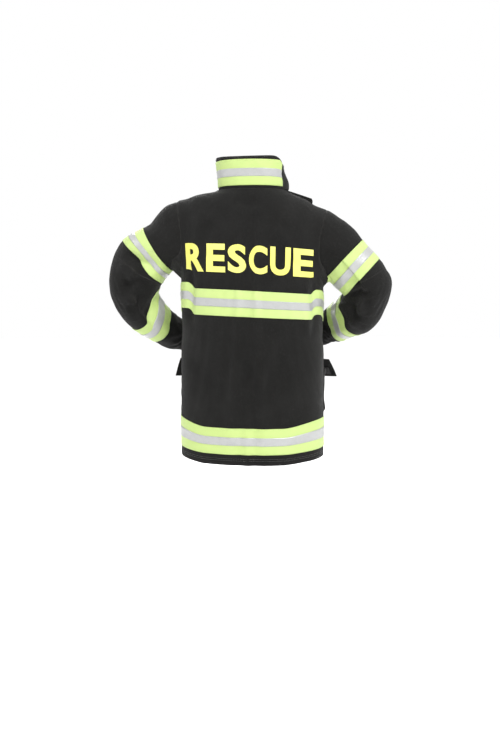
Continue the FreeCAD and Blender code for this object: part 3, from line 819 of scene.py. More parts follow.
def ply(skin, mask, outer, inner, relief=None):
    """A layer of cloth over the masked faces, from inner to outer along the normals, with a closed edge."""
    chosen = [skin.faces[i] for i in np.nonzero(mask)[0]]
    sides = skin.sleeve[mask]
    used = sorted({i for f in chosen for i in f})
    index = {v: i for i, v in enumerate(used)}
    faces = [tuple(index[i] for i in f) for f in chosen]
    rest, pos, normal = skin.rest[used], skin.pos[used], skin.normal[used]
    lift = np.zeros(len(used)) if relief is None else relief(rest)
    n = len(used)
    verts = np.vstack([pos + normal * (outer + lift)[:, None], pos + normal * (inner + lift)[:, None]])
    on_body, on_arm = body_uv(rest), arm_uv(rest)
    uvs = []
    for f, side in zip(faces, sides):
        source, around = (on_arm, 2 * math.pi * ARM_RADIUS) if side else (on_body, RING_LENGTH[-1])
        uv = source[list(f)].copy()
        uv[:, 0] += np.where(uv[:, 0] < uv[:, 0].max() - around / 2, around, 0)
        uvs.append(uv)
    all_faces = faces + [tuple(i + n for i in reversed(f)) for f in faces]
    all_uvs = uvs + [uv[::-1] for uv in uvs]
    down = (0, outer - inner)
    for a, b in boundary(faces):
        all_faces.append((b, a, a + n, b + n))
        all_uvs.append(np.array([on_body[b], on_body[a], on_body[a] + down, on_body[b] + down]))
    return Piece().add(verts, all_faces, all_uvs)


def sheet(grid_out, grid_in, uv):
    """A closed sheet from two grids of points."""
    nu, nv = grid_out.shape[:2]
    verts = np.concatenate([grid_out.reshape(-1, 3), grid_in.reshape(-1, 3)])
    flat = np.tile(uv.reshape(-1, 2), (2, 1))
    n = nu * nv
    faces = []
    for i in range(nu - 1):
        for j in range(nv - 1):
            a = i * nv + j
            quad = (a, a + nv, a + nv + 1, a + 1)
            faces.append(quad)
            faces.append(tuple(k + n for k in reversed(quad)))
    rim = [(i, 0) for i in range(nu)] + [(nu - 1, j) for j in range(1, nv)]
    rim += [(i, nv - 1) for i in range(nu - 2, -1, -1)] + [(0, j) for j in range(nv - 2, 0, -1)]
    ids = [i * nv + j for i, j in rim]
    for a, b in zip(ids, ids[1:] + ids[:1]):
        faces.append((b, a, a + n, b + n))
    return Piece().add(verts, faces, [flat[list(f)] for f in faces])


def patch(place, us, vs, outer, inner, rounding=1.0, drop=0.7):
    """A closed sheet laid over a surface. place(u, v, offset) gives a point; outer and inner are heights
    or functions of (u, v). The edge drops by rounding over a margin as wide."""
    us, vs = np.asarray(us, float), np.asarray(vs, float)
    out = np.empty((len(us), len(vs), 3))
    low = np.empty_like(out)
    uv = np.empty((len(us), len(vs), 2))
    for i, u in enumerate(us):
        for j, v in enumerate(vs):
            edge = min(u - us[0], us[-1] - u, abs(v - vs[0]), abs(vs[-1] - v))
            height = outer(u, v) if callable(outer) else outer
            depth = inner(u, v) if callable(inner) else inner
            height -= drop * (1 - min(1.0, edge / rounding)) ** 2
            out[i, j] = place(u, v, max(height, depth + 0.1))
            low[i, j] = place(u, v, depth)
            uv[i, j] = (u, v)
    return sheet(out, low, uv)


def steps(a, b, size, rounding=1.0):
    """Grid lines from a to b, with one close to each end so that the edge can be rounded."""
    count = max(2, round(abs(b - a) / size) + 1)
    inner = np.linspace(a, b, count)
    sign = 1 if b > a else -1
    ends = [a + sign * rounding * 0.4, a + sign * rounding, b - sign * rounding, b - sign * rounding * 0.4]
    lines = sorted(set(np.round(np.concatenate([inner, ends]), 3)), reverse=b < a)
    keep = [lines[0]]
    for value in lines[1:]:
        if abs(value - keep[-1]) > rounding * 0.3:
            keep.append(value)
    keep[-1] = b
    return keep


STITCH_PITCH = 3.4
STITCH_LENGTH = 2.3
THREAD = 0.34


def stitches(piece, points, normals, mat=1):
    """Thread along a line of points, as short raised dashes."""
    points, normals = np.asarray(points), np.asarray(normals)
    lengths = path_lengths(points)

    def at(s):
        p = np.array([np.interp(s, lengths, points[:, k]) for k in range(3)])
        n = unit([np.interp(s, lengths, normals[:, k]) for k in range(3)])
        return p, n

    verts, faces, uvs = [], [], []
    for s in np.arange(STITCH_PITCH / 2, lengths[-1] - STITCH_LENGTH, STITCH_PITCH):
        a, n = at(s)
        b, _ = at(s + STITCH_LENGTH)
        along = unit(b - a)
        across = np.cross(n, along) * THREAD
        up = n * THREAD
        i = len(verts)
        verts += [a - up * 0.5, b - up * 0.5]
        for share in (0.3, 0.7):
            c = a + (b - a) * share
            verts += [c + across - up * 0.3, c + up, c - across - up * 0.3]
        quads = [(i + 2, i + 5, i + 6, i + 3), (i + 3, i + 6, i + 7, i + 4), (i + 4, i + 7, i + 5, i + 2)]
        tips = [(i, i + 2, i + 3), (i, i + 3, i + 4), (i, i + 4, i + 2),
                (i + 1, i + 6, i + 5), (i + 1, i + 7, i + 6), (i + 1, i + 5, i + 7)]
        faces += quads + tips
        uvs += [np.array([(s, 0.0)] * len(f)) for f in quads + tips]
    if faces:
        piece.add(verts, faces, uvs, mat)
    return piece


# ---------------------------------------------------------------- materials

class Shader:
    """Short forms for building one node material."""

    def __init__(self, name):
        self.material = bpy.data.materials.new(name)
        self.material.use_nodes = True
        self.tree = self.material.node_tree
        self.bsdf = self.tree.nodes["Principled BSDF"]
        self.weave = self.add("ShaderNodeUVMap", uv_map="weave").outputs[0]
        self.local = self.add("ShaderNodeTexCoord").outputs["Object"]

    def add(self, kind, sockets=None, **settings):
        made = self.tree.nodes.new(kind)
        for key, value in settings.items():
            setattr(made, key, value)
        for key, value in (sockets or {}).items():
            self.put(made.inputs[key], value)
        return made

    def put(self, socket, value):
        if isinstance(value, bpy.types.NodeSocket):
            self.tree.links.new(value, socket)
        else:
            socket.default_value = value

    def noise(self, scale, detail=3.0, rough=0.5):
        sockets = {"Vector": self.local, "Scale": scale, "Detail": detail, "Roughness": rough}
        return self.add("ShaderNodeTexNoise", sockets).outputs[0]

    def cells(self, vector, scale, **settings):
        return self.add("ShaderNodeTexVoronoi", {"Vector": vector, "Scale": scale}, **settings).outputs[0]

    def threads(self, pitch, direction):
        """Parallel ridges at a pitch in metres."""
        turns = 10 if direction == "DIAGONAL" else 20
        made = self.add("ShaderNodeTexWave", {"Vector": self.weave, "Scale": 2 * math.pi / (turns * pitch),
                                              "Distortion": 0.25, "Detail": 1.0, "Detail Scale": 2.0},
                        wave_type="BANDS", bands_direction=direction)
        return made.outputs[1]

    def math(self, operation, a, b):
        return self.add("ShaderNodeMath", {0: a, 1: b}, operation=operation).outputs[0]

    def times(self, a, b):
        return self.math("MULTIPLY", a, b)

    def span(self, value, low, high, to_low=0.0, to_high=1.0):
        made = self.add("ShaderNodeMapRange", {"Value": value, "From Min": low, "From Max": high,
                                               "To Min": to_low, "To Max": to_high})
        return made.outputs[0]

    def mix(self, share, a, b):
        return self.add("ShaderNodeMix", {0: share, 6: a, 7: b}, data_type="RGBA").outputs[2]

    def bump(self, *layers):
        """Bumps one on another: pairs of height and distance in metres."""
        normal = None
        for height, distance in layers:
            made = self.add("ShaderNodeBump", {"Height": height, "Distance": distance, "Strength": 0.9})
            if normal is not None:
                self.put(made.inputs["Normal"], normal)
            normal = made.outputs[0]
        self.put(self.bsdf.inputs["Normal"], normal)
        return self

    def set(self, **values):
        for key, value in values.items():
            self.put(self.bsdf.inputs[key.replace("_", " ").title().replace("Ior", "IOR")], value)
        return self


def rgb(r, g, b):
    return (r, g, b, 1.0)


def canvas(name, dark, light, pitch=0.0013, sheen=0.05):
    """Heavy cotton cloth in a twill weave, slightly faded on its raised edges."""
    s = Shader(name)
    twill = s.threads(pitch, "DIAGONAL")
    warp_threads = s.threads(pitch * 0.62, "X")
    height = s.math("ADD", s.times(twill, 0.7), s.times(warp_threads, 0.3))
    patches = s.span(s.noise(9.0, 4.0), 0.35, 0.68)
    lint = s.span(s.noise(900.0, 1.0), 0.62, 0.78)
    colour = s.mix(s.times(patches, 0.6), dark, light)
    colour = s.mix(s.times(s.span(height, 0.0, 1.0, 1.0, 0.0), 0.45), colour, rgb(0.004, 0.004, 0.004))
    edge = s.span(s.add("ShaderNodeNewGeometry").outputs["Pointiness"], 0.52, 0.60)
    worn = s.times(edge, s.span(s.noise(60.0, 3.0), 0.3, 0.7, 0.15, 0.7))
    colour = s.mix(worn, colour, tuple(c * 2.6 for c in light[:3]) + (1.0,))
    colour = s.mix(s.times(lint, 0.10), colour, rgb(0.20, 0.20, 0.19))
    s.set(base_color=colour, roughness=s.span(s.noise(22.0, 2.0), 0.3, 0.7, 0.78, 0.92),
          sheen_weight=sheen, sheen_roughness=0.55, specular_ior_level=0.14)
    return s.bump((s.noise(320.0, 2.0), 0.00035), (height, 0.00028)).material


def fluorescent(name):
    """Lime retroreflective backing: a tight plain weave under a thin matt film, with a faint painted glow."""
    s = Shader(name)
    weave = s.times(s.threads(0.0008, "X"), s.threads(0.0008, "Y"))
    soil = s.span(s.noise(26.0, 5.0, rough=0.65), 0.42, 0.75)
    colour = s.mix(s.times(s.span(s.noise(7.0, 2.0), 0.3, 0.7), 0.5), rgb(0.43, 0.54, 0.18),
                   rgb(0.48, 0.58, 0.23))
    colour = s.mix(s.times(s.span(weave, 0.0, 0.6, 1.0, 0.0), 0.22), colour, rgb(0.27, 0.40, 0.08))
    colour = s.mix(s.times(soil, 0.14), colour, rgb(0.30, 0.42, 0.12))
    # The faint lime emission is a painted glow: the tape lights itself a little, though it is no lamp.
    s.set(base_color=colour, roughness=s.span(soil, 0.0, 1.0, 0.50, 0.68), sheen_weight=0.08,
          emission_color=rgb(0.45, 0.85, 0.10), emission_strength=0.05)
    return s.bump((s.noise(120.0, 3.0), 0.0004), (weave, 0.00018)).material


def beaded(name):
    """Silver tape: glass beads bonded to cloth, with fine rubbed lines across it."""
    s = Shader(name)
    beads = s.cells(s.weave, 1500.0)
    rub = s.span(s.noise(38.0, 6.0, rough=0.7), 0.45, 0.72)
    cell = s.times(s.threads(0.0022, "X"), s.threads(0.0022, "Y"))
    colour = s.mix(s.times(s.span(beads, 0.1, 0.6), 0.35), rgb(0.43, 0.435, 0.43),
                   rgb(0.28, 0.285, 0.28))
    colour = s.mix(s.times(s.span(cell, 0.0, 0.5, 1.0, 0.0), 0.10), colour, rgb(0.22, 0.225, 0.23))
    colour = s.mix(s.times(rub, 0.28), colour, rgb(0.25, 0.255, 0.26))
    s.set(base_color=colour, roughness=s.span(rub, 0.0, 1.0, 0.32, 0.55), metallic=0.25, coat_weight=0.15,
          coat_roughness=0.35)
    return s.bump((s.noise(90.0, 4.0), 0.0005), (beads, 0.00012)).material


def printed(name):
    """Heat-pressed pale yellow lettering film with fine crackle where the cloth bends, and a faint painted
    glow.
    """
    s = Shader(name)
    crackle = s.cells(s.local, 260.0, feature="DISTANCE_TO_EDGE")
    line = s.times(s.span(crackle, 0.0, 0.05, 1.0, 0.0), s.span(s.noise(40.0), 0.5, 0.7))
    weave = s.threads(0.0013, "DIAGONAL")
    colour = s.mix(s.span(s.noise(14.0, 3.0), 0.3, 0.7), rgb(0.66, 0.63, 0.11), rgb(0.70, 0.68, 0.17))
    colour = s.mix(s.times(line, 0.35), colour, rgb(0.45, 0.42, 0.12))
    # The faint yellow emission is a painted glow: the letters light themselves a little, though they are no
    # lamp.
    s.set(base_color=colour, roughness=s.span(weave, 0.0, 1.0, 0.50, 0.62), emission_color=rgb(0.8, 0.8, 0.2),
          emission_strength=0.04)
    return s.bump((s.noise(200.0), 0.0002), (weave, 0.00010)).material


def nylon(name, dark, light, pitch=0.0007):
    """Smooth lining cloth with a faint plain weave."""
    s = Shader(name)
    weave = s.times(s.threads(pitch, "X"), s.threads(pitch, "Y"))
    colour = s.mix(s.span(s.noise(12.0, 4.0), 0.3, 0.7), dark, light)
    colour = s.mix(s.times(s.span(weave, 0.0, 0.5, 1.0, 0.0), 0.3), colour, rgb(0.008, 0.008, 0.009))
    s.set(base_color=colour, roughness=s.span(s.noise(40.0), 0.3, 0.7, 0.48, 0.66), sheen_weight=0.08,
          sheen_roughness=0.4)
    return s.bump((s.noise(150.0), 0.0003), (weave, 0.00012)).material


def napped(name, colour_a, colour_b, scale, depth):
    """Hook-and-loop tape: a dense pile."""
    s = Shader(name)
    cells = s.cells(s.local, scale)
    fuzz = s.noise(scale * 1.7, 4.0, rough=0.7)
    colour = s.mix(s.span(s.math("ADD", cells, fuzz), 0.5, 1.2), colour_a, colour_b)
    s.set(base_color=colour, roughness=s.span(fuzz, 0.2, 0.8, 0.82, 0.97), sheen_weight=0.12,
          sheen_roughness=0.6)
    return s.bump((fuzz, depth), (cells, depth)).material


def thread(name, colour):
    s = Shader(name)
    twist = s.threads(0.0009, "DIAGONAL")
    dark = tuple(c * 0.55 for c in colour[:3]) + (1.0,)
    s.set(base_color=s.mix(twist, dark, colour), roughness=s.span(twist, 0.0, 1.0, 0.45, 0.65),
          sheen_weight=0.2)
    return s.bump((twist, 0.0001)).material


COIL_PITCH = 0.0018


def coil(name):
    """Moulded nylon zip coil, seen as close turns."""
    s = Shader(name)
    sockets = {"Vector": s.local, "Scale": 2 * math.pi / (20 * COIL_PITCH), "Distortion": 0.0}
    turns = s.add("ShaderNodeTexWave", sockets, wave_type="BANDS", bands_direction="Z").outputs[1]
    colour = s.mix(turns, rgb(0.006, 0.006, 0.006), rgb(0.035, 0.035, 0.034))
    s.set(base_color=colour, roughness=s.span(turns, 0.0, 1.0, 0.5, 0.3), coat_weight=0.1)
    return s.bump((turns, 0.0007)).material


def brass(name):
    s = Shader(name)
    scuff = s.span(s.noise(300.0, 6.0, rough=0.75), 0.45, 0.7)
    rubbed = s.span(s.add("ShaderNodeNewGeometry").outputs["Pointiness"], 0.5, 0.6)
    colour = s.mix(scuff, rgb(0.62, 0.43, 0.17), rgb(0.42, 0.29, 0.12))
    colour = s.mix(s.times(rubbed, 0.6), colour, rgb(0.80, 0.66, 0.38))
    s.set(base_color=colour, roughness=s.span(scuff, 0.0, 1.0, 0.25, 0.48), metallic=1.0)
    return s.bump((s.noise(700.0, 3.0), 0.00008)).material


SHELL = canvas("shell_cloth", rgb(0.0050, 0.0048, 0.0043), rgb(0.0095, 0.0091, 0.0083))
CUFF_CLOTH = canvas("cuff_cloth", rgb(0.0044, 0.0043, 0.0041), rgb(0.0085, 0.0083, 0.0078), pitch=0.0022)
LIME = fluorescent("lime_tape")
SILVER = beaded("silver_tape")
PRINT = printed("letter_film")
LINING = nylon("lining_cloth", rgb(0.022, 0.022, 0.024), rgb(0.040, 0.040, 0.043))
LOOPS = napped("loop_pile", rgb(0.004, 0.004, 0.004), rgb(0.017, 0.017, 0.016), 900.0, 0.0008)
HOOKS = napped("hook_pile", rgb(0.004, 0.004, 0.004), rgb(0.022, 0.021, 0.020), 1400.0, 0.0006)
DARK_THREAD = thread("dark_thread", rgb(0.040, 0.039, 0.036))
LIME_THREAD = thread("lime_thread", rgb(0.50, 0.78, 0.22))
GREY_THREAD = thread("grey_thread", rgb(0.42, 0.43, 0.43))
ZIP_TAPE = nylon("zip_tape_cloth", rgb(0.012, 0.012, 0.012), rgb(0.026, 0.026, 0.025), pitch=0.0009)
ZIP_COIL = coil("zip_coil_nylon")
BRASS = brass("zip_brass")


# ---------------------------------------------------------------- body and sleeves

SHELL_PLY = 2.2
COAT = "coat"


def quilting(rest):
    """Height of a quilted lining: soft diamonds."""
    u = body_uv(rest)
    a, b = (u[:, 0] + u[:, 1]) / 46, (u[:, 0] - u[:, 1]) / 46
    valley = np.minimum(np.abs(np.sin(math.pi * a)), np.abs(np.sin(math.pi * b)))
    return -1.1 * (1 - np.minimum(1, valley / 0.35)) ** 2


def ring_line(skin, z, back_only=False):
    """Points round the body at a height, front edge to front edge, and their directions."""
    w, d, cy = body_section(z)
    points = []
    for a in np.linspace(-math.pi / 2, 1.5 * math.pi, 260):
        x, y = ring_point(a, SQUARENESS)
        if (back_only and y < 0.02) or (y < 0 and abs(w * x) < FRONT_EDGE + 3):
            continue
        points.append(skin.wrap((w * x, cy + d * y, z)))
    return points


def offset_line(line, height):
    points = [p + n * height for p, n in line]
    return points, [n for _, n in line]


def plane_line(skin, side, point, normal, centre_at, past_elbow=None):
    """The line where a plane crosses a sleeve, found by looking outwards from the sleeve's middle.
    Where past_elbow is given, the line keeps to what lies at least that far past the elbow."""
    centre = mirror(side, ARM_LINE[np.argmin(np.abs(ARM_LENGTH - centre_at))])
    normal = unit(normal)
    centre = centre - normal * ((centre - point) @ normal)
    across = unit(np.cross(normal, (0, 0, 1)))
    up = np.cross(across, normal)
    line, keep = [], []
    for a in np.linspace(0, 2 * math.pi, 90):
        direction = across * math.cos(a) + up * math.sin(a)
        hit = skin.tree.ray_cast(Vector(centre), Vector(direction), 90)[0]
        if hit is not None:
            line.append(skin.wrap(hit))
            keep.append(past_elbow is None or reach_down_arm(np.array(hit), side) > past_elbow)
    start = next((i for i in range(len(line)) if keep[i] and not keep[i - 1]), 0)
    order = [i % len(line) for i in range(start, start + len(line))]
    return [line[i] for i in order if keep[i]]


# where a sleeve's bend begins and ends: distances down the arm from the shoulder, and past the elbow
SHOULDER_BEND = (52, 84)
ELBOW_BEND = (4, 38)


def sleeve_bends(side):
    """Where the sleeve's cloth turns from the coat to the sleeve, and from the sleeve to the forearm."""
    word = word_of(side)
    shoulder, elbow, upper = (mirror(side, v) for v in (SHOULDER, ELBOW, UPPER))
    through = mirror(side, unit(UPPER + FOREARM))
    top = [tuple((shoulder + upper * distance) * MM) for distance in SHOULDER_BEND]
    low = [tuple((elbow + through * distance) * MM) for distance in ELBOW_BEND]
    return ((COAT, f"sleeve_{word}"), *top), ((f"sleeve_{word}", f"forearm_{word}"), *low)


# how far from the middle the front panels' edge stitches lie, how far plain stitches stand off the cloth,
# and how far above the hem its stitches lie: two lines on the back, one on the front
EDGE_STITCH_X = 10.5
STITCH_LIFT = 0.15
HEM_STITCHES, FRONT_HEM_STITCH = (9, 12.5), 10


def make_torso(skin):
    for name, node in (("back", "back_panel"), ("front_left", "front_panel_left"),
                       ("front_right", "front_panel_right")):
        piece = ply(skin, skin.masks[name], 0, -SHELL_PLY)
        if name == "back":
            for above in HEM_STITCHES:
                line = ring_line(skin, HEM + above, back_only=True)
                stitches(piece, *offset_line(line, STITCH_LIFT))
        else:
            sign = 1 if name == "front_left" else -1
            x = sign * EDGE_STITCH_X
            edge = [skin.wrap((x, -body_front(x, z), z)) for z in np.arange(HEM + 4, -8, 4.0)]
            stitches(piece, *offset_line(edge, STITCH_LIFT))
            ring = ring_line(skin, HEM + FRONT_HEM_STITCH)
            line = [(p, n) for p, n in ring if p[1] < -2 and p[0] * sign > 12]
            stitches(piece, *offset_line(line, STITCH_LIFT))
        piece.write(f"{name}_cloth", [SHELL, DARK_THREAD], "shell", [node], body=COAT)
    inside = (skin.sleeve == 0) & ~((np.abs(skin.centre[:, 0]) < 11) & (skin.centre[:, 1] < 0))
    liner = ply(skin, inside, -SHELL_PLY - 0.5, -SHELL_PLY - 1.9, quilting)
    liner.write("body_lining_cloth", [LINING], "lining", ["body_liner"], body=COAT)


def body_front(x, z):
    """How far the front stands out from the middle plane at a place."""
    w, d, cy = body_section(z)
    return d * (1 - min(0.999, abs(x) / w) ** SQUARENESS) ** (1 / SQUARENESS) - cy


# each layer of a tape: its name, what it is made of, its two faces' heights, its stitches' height
TAPE_LAYERS = (
    ("tape", "cloth", (1.15, 0.12), 1.2, [LIME, LIME_THREAD], "lime_tape"),
    ("stripe", "film", (1.75, 1.2), 1.8, [SILVER, GREY_THREAD], "silver_tape"),
)
# how far the stitches lie inside the edges of the lime and the silver
LIME_INSET, SILVER_INSET = 2.2, 1.4


def write_tapes(skin, kind, tail, node, lines, **place):
    """A lime tape and its silver stripe. lines has the stitch lines of the first, then of the second."""
    for number, (layer, stuff, heights, stitch_height, materials, slot) in enumerate(TAPE_LAYERS):
        piece = ply(skin, skin.masks[f"{kind}_{layer}{tail}"], *heights)
        for line in lines[2 * number:2 * number + 2]:
            if len(line) > 3:
                stitches(piece, *offset_line(line, stitch_height))
        piece.write(f"{kind}_{layer}_{stuff}{tail}", materials, slot, [f"{node}_{layer}{tail}"], **place)


def stitch_places(low, high):
    """Where the stitches of a tape and its stripe lie between the tape's edges."""
    inset = MARGIN + SILVER_INSET
    return low + LIME_INSET, high - LIME_INSET, low + inset, high - inset


def make_body_tapes(skin):
    for kind, edges in (("chest", CHEST_TAPE), ("hem", HEM_TAPE)):
        lines = [ring_line(skin, z) for z in stitch_places(*edges)]
        write_tapes(skin, kind, "", kind, lines, body=COAT)


# about how far down the sleeve's middle line the tapes and the cuff lie
ARM_TAPE_AT, WRIST_TAPE_AT, CUFF_AT = (share * ARM_LENGTH[-1] for share in (0.36, 0.76, 0.95))


def tape_lines(skin, side, kind):
    """Stitch lines of a sleeve tape: its two edges, then its stripe's two edges."""
    lines = []
    for place in stitch_places(0, TAPE_WIDTH):
        if kind == "wrist":
            normal = mirror(side, FOREARM)
            point = WRIST_TAPE_STARTS[side] + normal * place
            lines.append(plane_line(skin, side, point, normal, WRIST_TAPE_AT, past_elbow=2.0))
            continue
        share = place / TAPE_WIDTH
        high, low = ([np.array((x, 0, z)) for x, z in edge] for edge in ARM_TAPES[side])
        start, end = (high[i] * (1 - share) + low[i] * share for i in (0, 1))
        normal = np.cross(end - start, (0, 1, 0))
        lines.append(plane_line(skin, side, start, normal, ARM_TAPE_AT))
    return lines


SLEEVE_SHELL = (0, -SHELL_PLY)
SLEEVE_LINING = (-SHELL_PLY - 0.4, -SHELL_PLY - 1.6)
# each layer of a sleeve: its mask, its name, the node it replaces, its two faces' heights
SLEEVE_PLIES = (
    ("upper", "upper_sleeve_cloth", "upper_sleeve", SLEEVE_SHELL, SHELL, "shell"),
    ("forearm", "forearm_cloth", "forearm_sleeve", SLEEVE_SHELL, SHELL, "shell"),
    ("upper", "upper_lining_cloth", "upper_sleeve_liner", SLEEVE_LINING, LINING, "lining"),
    ("forearm", "forearm_lining_cloth", "forearm_liner", SLEEVE_LINING, LINING, "lining"),
)


def make_sleeves(skin):
    for side in (1, -1):
        word = word_of(side)
        top, low = sleeve_bends(side)
        for mask, name, node, heights, material, slot in SLEEVE_PLIES:
            piece = ply(skin, skin.masks[f"{mask}_{word}"], *heights)
            bend = top if mask == "upper" else low
            piece.write(f"{name}_{word}", [material], slot, [f"{node}_{word}"], bend=bend)
        cuff = ply(skin, skin.masks[f"cuff_{word}"], 0.7, -SHELL_PLY)
        along = mirror(side, FOREARM)
        for back in (3.0, CUFF - 3.0):
            line = plane_line(skin, side, mirror(side, WRIST) - along * back, along, CUFF_AT)
            stitches(cuff, *offset_line(line, 0.8))
        cuff.write(f"cuff_cloth_{word}", [CUFF_CLOTH, DARK_THREAD], "shell", [f"sleeve_cuff_{word}"],
                   body=f"forearm_{word}")
        write_tapes(skin, "arm", f"_{word}", "upper_sleeve", tape_lines(skin, side, "arm"), bend=top)
        write_tapes(skin, "wrist", f"_{word}", "wrist", tape_lines(skin, side, "wrist"), bend=low)


# ---------------------------------------------------------------- lettering

WORD = "RESCUE"
LETTERS = dict(wide=39.0, pitch=44.4, height=57.0, middle=-142.0, weight=0.035)
LETTER_GRID = 3.6


def letter_outline(letter, left):
    """One bold condensed capital as a flat mesh in x and z, from its left edge seen from behind."""
    curve = bpy.data.curves.new("letter", "FONT")
    curve.body = letter
    curve.offset = LETTERS["weight"]
    curve.resolution_u = 5
    obj = link(bpy.data.objects.new("letter", curve))
    mesh = evaluated_mesh(obj)
    bpy.data.objects.remove(obj)
    co = read(mesh)
    low, high = co.min(axis=0), co.max(axis=0)
    share = (co - low) / np.maximum(high - low, 1e-9)
    co[:, 0] = left - share[:, 0] * LETTERS["wide"]
    co[:, 2] = LETTERS["middle"] + (share[:, 1] - 0.5) * LETTERS["height"]
    co[:, 1] = 0
    mesh.vertices.foreach_set("co", co.ravel())
    return mesh


def make_letters(skin):
    """Bold capitals, cut into small faces and laid over the back."""
    flat = bmesh.new()
    left = (LETTERS["pitch"] * (len(WORD) - 1) + LETTERS["wide"]) / 2
    for i, letter in enumerate(WORD):
        flat.from_mesh(letter_outline(letter, left - i * LETTERS["pitch"]))
    bmesh.ops.remove_doubles(flat, verts=flat.verts, dist=0.01)
    grid = [((x, 0, 0), (1, 0, 0)) for x in np.arange(-126, 127, LETTER_GRID)]
    grid += [((0, 0, z), (0, 0, 1)) for z in LETTERS["middle"] + np.arange(-27, 28, LETTER_GRID)]
    for point, normal in grid:
        geometry = list(flat.verts) + list(flat.edges) + list(flat.faces)
        bmesh.ops.bisect_plane(flat, geom=geometry, plane_co=point, plane_no=normal, dist=0.02)
    bmesh.ops.dissolve_degenerate(flat, edges=flat.edges, dist=0.01)
    flat.verts.index_update()
    flat.normal_update()
    plan = [tuple(v.co) for v in flat.verts]
    faces = [tuple(v.index for v in f.verts) for f in flat.faces]
    if sum(f.normal.y * f.calc_area() for f in flat.faces) < 0:
        faces = [f[::-1] for f in faces]
    outer, inner = [], []
    for x, _, z in plan:
        w, d, cy = body_section(z)
        y = cy + d * (1 - (abs(x) / w) ** SQUARENESS) ** (1 / SQUARENESS)
        p, n = skin.wrap((x, y, z))
        outer.append(p + n * 0.75)
        inner.append(p + n * 0.1)
    n = len(plan)
    closed = faces + [tuple(i + n for i in reversed(f)) for f in faces]
    closed += [(b, a, a + n, b + n) for a, b in boundary(faces)]
    plan_uv = np.array([(x, z) for x, _, z in plan] * 2)
    Piece().add(outer + inner, closed, [plan_uv[list(f)] for f in closed]).write(
        "back_lettering", [PRINT], "lettering", ["back_letters"], body=COAT, smooth=False)


# ---------------------------------------------------------------- collar

COLLAR_ROWS = [(0, 67, 58, 8), (32.5, 69, 60, 9), (65, 73, 63, 10)]
COLLAR_TAPE = (7.0, 58.0)


def collar_top(angle):
    """Height of the collar's edge, lower on the wearer's right towards the front. Angle 90 is the back."""
    turn = math.degrees(angle)
    return 65 - 17 * float(step(128, 178, turn)) - 3 * float(step(196, 262, turn)) + 0.8 * math.sin(turn / 17)


def collar_place(angle, z, offset):
    """A point on the collar, from its bearing, its height and its distance outwards."""
    w, d, cy = [np.interp(z, [r[0] for r in COLLAR_ROWS], [r[i] for r in COLLAR_ROWS]) for i in (1, 2, 3)]
    x, y = ring_point(angle, SQUARENESS)
    p = np.array((w * x, cy + d * y, z))
    n = unit((abs(x) ** (SQUARENESS - 1) * math.copysign(1, x) / w,
              abs(y) ** (SQUARENESS - 1) * math.copysign(1, y) / d, 0))
    turn = math.degrees(angle)
    flare = 9.0 * float(bump(turn, 184, 26)) * float(1 - step(2, 52, z)) * float(step(-3, 5, z))
    lean = -6.5 * float(bump(turn, 182, 26)) * float(step(14, 58, z))
    crease = -2.2 * float(bump(turn - 0.35 * z, 158, 5)) + 1.6 * float(bump(turn - 0.35 * z, 149, 6))
    wave = 1.1 * noise.noise(Vector((turn / 16, z / 24, 3))) * float(step(0, 14, z))
    return p + n * (offset + flare + lean + wave + crease * float(step(4, 20, z)))


def front_angle(x, z=20):
    """Bearing of a place on the front of the collar, x from the middle, as (left, right) angles."""
    w = float(np.interp(z, [r[0] for r in COLLAR_ROWS], [r[1] for r in COLLAR_ROWS]))
    a = math.acos(min(1, abs(x) / w) ** (SQUARENESS / 2))
    return -a if x > 0 else math.pi + a


def collar_sheet(angles, low, high, outer, inner):
    """A sheet on the collar. low and high are heights, or functions of the bearing."""
    shares = [0, 0.02, 0.06] + list(np.linspace(0.12, 0.88, 12)) + [0.94, 0.98, 1]

    def place(a, share, offset):
        bottom = low(a) if callable(low) else low
        top = high(a) if callable(high) else high
        return collar_place(a, bottom + (top - bottom) * share, offset)

    out = np.array([[place(a, s, outer - 0.8 * (1 - min(1, min(s, 1 - s) / 0.06)) ** 2) for s in shares]
                    for a in angles])
    low_grid = np.array([[place(a, s, inner) for s in shares] for a in angles])
    uv = np.array([[(a * 66, s * 60) for s in shares] for a in angles])
    return sheet(out[::-1], low_grid[::-1], uv[::-1])


